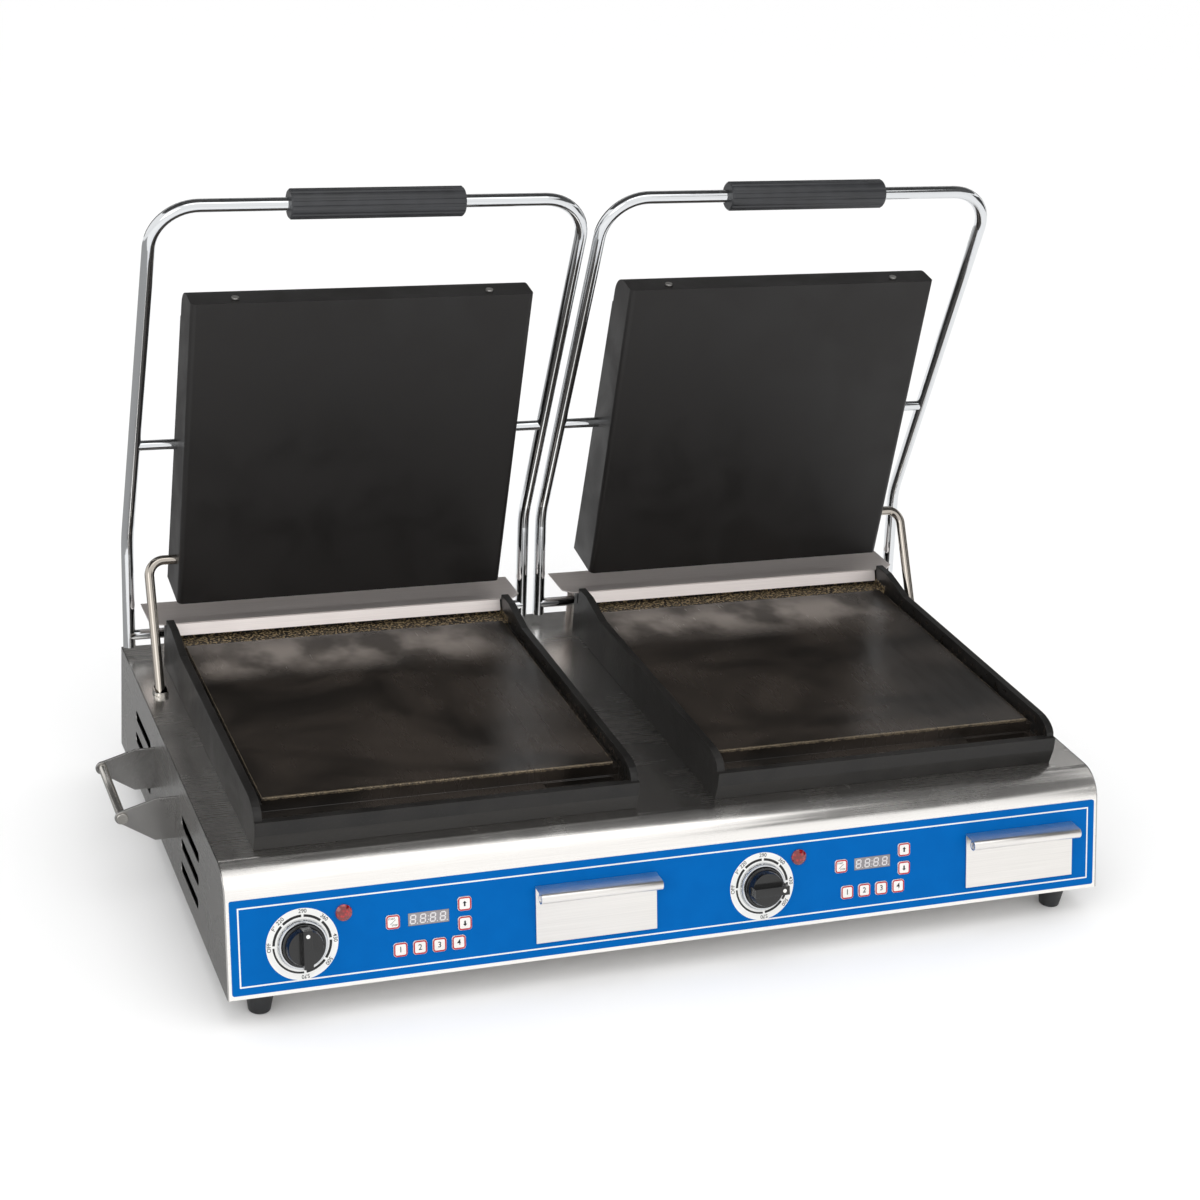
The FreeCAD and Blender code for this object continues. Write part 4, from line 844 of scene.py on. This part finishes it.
    def keys(self, side: str) -> None:
        """Red outlines and black marks on the seven keys of one timer."""
        arrow = [[(-0.75, -2.2), (0.75, -2.2), (0.75, 0.6), (-0.75, 0.6)],
                 [(-1.9, 0.6), (1.9, 0.6), (0.0, 2.6)]]
        start = (turned(lettering("START", 1.5), 0, -1.2, 2.9)
                 + turned(lettering("STOP", 1.5), 0, 1.4, -2.9)
                 + [[(-2.6, -2.0), (-2.1, -2.0), (2.6, 2.0), (2.1, 2.0)]])
        marks = {"start": start, "up": arrow, "down": turned(arrow, 180.0)}
        marks |= {f"preset_{i}": lettering(str(i), 5.0, 0.05) for i in range(1, 5)}
        ring = band(*(rounded_square(half, corner)
                      for half, corner in zip(self.outline_mm, self.outline_corner_mm)))
        for label, shapes in marks.items():
            node = f"button_{label}_{side}"
            dress_node(node, KEY_ABS, Rounding(0.35))
            centre = self.panel.centre(node)
            self.print_on(f"key_outline_{label}_{side}", ring, centre, RED_INK, node)
            self.print_on(f"key_mark_{label}_{side}", shapes, centre, BLACK_INK, node)

    def segments(self, across: float) -> list[Outline]:
        """The seven bars of one figure, leaning a little to the right.

        Args:
            across: how far right of the window's middle the figure stands, in millimetres.

        Returns:
            The bars.
        """
        width, height = self.digit_mm
        half, cut, gap = width / 2, self.stroke_mm / 2, self.digit_gap_mm
        bars: list[list[tuple[float, float]]] = []
        for level in (-height / 2 + cut, 0.0, height / 2 - cut):
            end = half - cut - gap
            bars.append([(-end, level), (-end + cut, level - cut), (end - cut, level - cut),
                         (end, level), (end - cut, level + cut), (-end + cut, level + cut)])
        for x in (-half + cut, half - cut):
            for low, high in ((-height / 2 + cut, 0.0), (0.0, height / 2 - cut)):
                lo, hi = low + gap, high - gap
                bars.append([(x, lo), (x + cut, lo + cut), (x + cut, hi - cut), (x, hi),
                             (x - cut, hi - cut), (x - cut, lo + cut)])
        return [[(x + across + self.digit_lean * y, y) for x, y in bar] for bar in bars]

    def digits(self) -> None:
        """Four pale figures and a colon in each timer window."""
        vertices = frame["nodes"]["timer_displays"].data.vertices
        for side, sign in (("left", -1), ("right", 1)):
            points = [v.co for v in vertices if v.co.x * sign > 0]
            xs = [p.x for p in points]
            ups = [p.dot(self.panel.up) for p in points]
            top = max(p.dot(self.panel.out) for p in points) - self.panel.face
            centre = Vector(((min(xs) + max(xs)) / 2, (min(ups) + max(ups)) / 2, top))
            pitch, dot = self.digit_pitch_mm, self.digit_dot_mm
            shapes: list[Outline] = []
            for place in (-1.5, -0.5, 0.5, 1.5):
                shapes += self.segments(place * pitch - 0.6)
                shapes.append([(x + place * pitch + 3.2, y - self.digit_mm[1] / 2 + dot)
                               for x, y in circle_points(dot, 0, 360, 12)[:-1]])
            shapes += [[(x - 0.3, y + level) for x, y in circle_points(dot, 0, 360, 12)[:-1]]
                       for level in (-1.6, 1.6)]
            self.print_on(f"display_figures_{side}", shapes, centre, SEGMENT_PALE)


# ------------------------------------------------------------------------------ body
@dataclass
class StainlessBody:
    """The sheet-metal body with its feet, carry handles and small fittings."""

    sheet_edge: Rounding = Rounding(0.25)
    bracket_edge: Rounding = Rounding(0.4)

    def build(self) -> None:
        """Dresses every fixed sheet and fitting."""
        dress_node("body_wrap", DECK_STEEL_LIT, self.sheet_edge)
        for name in ("back_panel", "base_plate", "side_panel_left", "side_panel_right"):
            dress_node(name, SIDE_STEEL_SHADED, self.sheet_edge)
        for side in ("left", "right"):
            dress_node(f"carry_brackets_{side}", SIDE_STEEL_SHADED, self.bracket_edge)
            dress_node(f"splash_guard_{side}", GUARD_STEEL, self.sheet_edge)
        dress_node("carry_rods", ROD_STEEL, self.bracket_edge)
        dress_node("tray_channels", PLAIN_STEEL)
        dress_node("deck_collars", ROD_STEEL, self.bracket_edge)
        dress_node("hinge_bearings", PLAIN_STEEL, self.bracket_edge)
        dress_node("torsion_springs", PLAIN_STEEL)
        dress_node("feet", FOOT_RUBBER, Rounding(1.2, 3))
        dress_node("cable_gland", GLAND_NYLON, Rounding(0.6))


@dataclass
class Press:
    """One grill: lower griddle, hinged upper plate, handle hoop and drip tray."""

    side: str
    cast_edge: Rounding = Rounding(1.3, 3)
    face_half_mm: tuple[float, float] = (160.5, 158.0)
    wall_mm: float = 166.8

    def build(self) -> None:
        """Dresses the press's own pieces."""
        side = self.side
        dress_node(f"lower_plate_{side}", self.griddle(), self.cast_edge)
        dress_node(f"upper_plate_{side}", UPPER_IRON, self.cast_edge)
        dress_node(f"upper_cover_{side}", COVER_ENAMEL, Rounding(0.4))
        dress_node(f"cover_screws_{side}", PLAIN_STEEL, Rounding(0.5))
        for part in ("handle_hoop", "hinge_shaft", "pivot_shaft"):
            dress_node(f"{part}_{side}", CHROME)
        dress_node(f"handle_grip_{side}", GRIP_RUBBER, Rounding(0.4))
        dress_node(f"wiring_tube_{side}", TUBE_STEEL)
        dress_node(f"drip_tray_{side}", TRAY_STEEL, Rounding(0.25))

    def griddle(self) -> bpy.types.Material:
        """The lower plate's iron, ground on its raised cooking face."""
        mount = next(m for m in frame["record"]["mounts"]
                     if m["name"] == f"cooking_face_{self.side}")
        x, y, z = mount["pos_m"]

        def zone(x0: float, x1: float, y0: float, y1: float, z0: float, z1: float,
                 fade_mm: float = 1.0) -> Zone:
            """A zone given in millimetres from the middle of the cooking face.

            Args:
                x0: its left side.
                x1: its right side.
                y0: its front.
                y1: its back.
                z0: its bottom.
                z1: its top.
                fade_mm: how far its edges fade.

            Returns:
                The zone, in the machine's space.
            """
            return Zone((x + x0 * MM, y + y0 * MM, z + z0 * MM),
                        (x + x1 * MM, y + y1 * MM, z + z1 * MM), fade_mm)

        half_x, half_y = self.face_half_mm
        wall = self.wall_mm
        finish = GriddleIron(
            f"griddle_iron_{self.side}", "1b1a19", 0.40, "363432", 1.3, 5.0, 0.35,
            ground=zone(-wall, wall, -half_y - 26, half_y, -25, 4),
            rubs=(zone(-half_x, half_x, -half_y - 0.5, -half_y + 2.2, -2.5, 2, 0.8),
                  zone(-wall - 2, wall + 2, half_y + 0.5, half_y + 2.5, -5, 1, 0.8),
                  zone(-half_x - 0.5, -half_x + 0.7, -half_y, half_y, -3, 1, 0.5),
                  zone(half_x - 0.7, half_x + 0.5, -half_y, half_y, -3, 1, 0.5)),
            crusts=(zone(-wall - 2, wall + 2, half_y - 0.5, half_y + 28, -6, 3),),
            # The painted reflection lies over the back of the face, fading forward over 60 mm.
            films=(zone(-half_x - 30, half_x, half_y - 96, half_y + 30, -70, 70, 60),))
        return finish.material()


# ------------------------------------------------------------------------------ studio
@dataclass(frozen=True)
class SoftLight:
    """A square soft box."""

    name: str
    place: Place
    aim: Place
    size: float
    power: float


@dataclass(frozen=True)
class Card:
    """A four-cornered grey card that only reflections see, to shade bright metal."""

    name: str
    corners: tuple[Place, Place, Place, Place]
    shade: str = "3c3c3c"


@dataclass
class Studio:
    """Plain pale floor, soft light and the camera."""

    camera_place: Place = (-0.8195, -1.9572, 1.1670)
    camera_turn_deg: Place = (66.639, -4.325, -20.491)
    lens_mm: float = 73.44
    sensor_mm: float = 36.0
    floor_half: float = 60.0
    room_light: float = 1.06
    lights: tuple[SoftLight, ...] = (
        SoftLight("overhead", (0.0, -0.6, 2.6), (0.0, 0.0, 0.3), 2.0, 12.0),
        SoftLight("front_left", (-2.2, -2.2, 1.7), (0.0, 0.0, 0.3), 1.6, 10.0),
    )
    cards: tuple[Card, ...] = (
        Card("back_card", ((-2.6, 3.4, 0.12), (2.4, 1.5, 0.12), (2.4, 1.5, 1.2),
                           (-2.6, 3.4, 2.3)), "484848"),
        Card("right_card", ((3.0, 0.8, 0.1), (2.6, -1.2, 0.1), (2.6, -1.2, 1.2),
                            (3.0, 0.8, 1.2))),
        Card("ceiling_card", ((-2.6, -0.6, 2.3), (2.6, -0.6, 2.3), (2.6, 3.2, 2.6),
                              (-2.6, 3.2, 2.6))),
        Card("right_flag", ((0.9, -2.0, 1.5), (2.6, -2.0, 1.5), (2.6, 1.6, 1.5),
                            (0.9, 1.6, 1.5)), "505050"),
        Card("left_floor_card", ((-2.6, -0.3, 0.003), (-0.425, -0.3, 0.003), (-0.425, 2.6, 0.003),
                                 (-2.6, 2.6, 0.003)), "9a9a9a"),
    )

    def build(self) -> None:
        """Sets the floor, the world, the lights and the camera."""
        scene = bpy.context.scene
        scene.view_settings.view_transform = "Standard"
        mesh = bmesh.new()
        bmesh.ops.create_grid(mesh, x_segments=1, y_segments=1, size=self.floor_half)
        data = bpy.data.meshes.new("floor")
        mesh.to_mesh(data)
        mesh.free()
        data.materials.append(Moulded("pale_floor", "f8f8f8", 0.9, "f8f8f8").material())
        floor = bpy.data.objects.new("floor", data)
        scene.collection.objects.link(floor)
        world = bpy.data.worlds.new("studio")
        world.use_nodes = True
        background = world.node_tree.nodes["Background"]
        background.inputs["Color"].default_value = linear("ffffff")
        background.inputs["Strength"].default_value = self.room_light
        scene.world = world
        for light in self.lights:
            self.hang(light)
        for card in self.cards:
            self.stand(card)
        self.aim_camera()

    def hang(self, light: SoftLight) -> None:
        """Hangs one soft box."""
        lamp = bpy.data.lights.new(light.name, "AREA")
        lamp.size = light.size
        lamp.energy = light.power
        holder = bpy.data.objects.new(light.name, lamp)
        holder.location = light.place
        aim = Vector(light.aim) - Vector(light.place)
        holder.rotation_euler = aim.to_track_quat("-Z", "Y").to_euler()
        bpy.context.scene.collection.objects.link(holder)

    def stand(self, card: Card) -> None:
        """Stands one grey card."""
        mesh = bmesh.new()
        mesh.faces.new([mesh.verts.new(corner) for corner in card.corners])
        data = bpy.data.meshes.new(card.name)
        mesh.to_mesh(data)
        mesh.free()
        data.materials.append(Moulded(f"card_{card.shade}", card.shade, 0.9, card.shade).material())
        holder = bpy.data.objects.new(card.name, data)
        holder.visible_camera = False
        holder.visible_diffuse = False
        holder.visible_shadow = False
        bpy.context.scene.collection.objects.link(holder)

    def aim_camera(self) -> None:
        """Puts up the camera."""
        data = bpy.data.cameras.new("camera")
        data.lens = self.lens_mm
        data.sensor_width = self.sensor_mm
        holder = bpy.data.objects.new("camera", data)
        holder.location = self.camera_place
        holder.rotation_euler = [math.radians(a) for a in self.camera_turn_deg]
        bpy.context.scene.collection.objects.link(holder)
        bpy.context.scene.camera = holder


def main() -> None:
    """Builds the whole machine's looks, then the studio."""
    StainlessBody().build()
    ControlPanel(Panel.of_machine()).build()
    for side in ("left", "right"):
        Press(side).build()
    Studio().build()


if __name__ == "__main__":
    main()
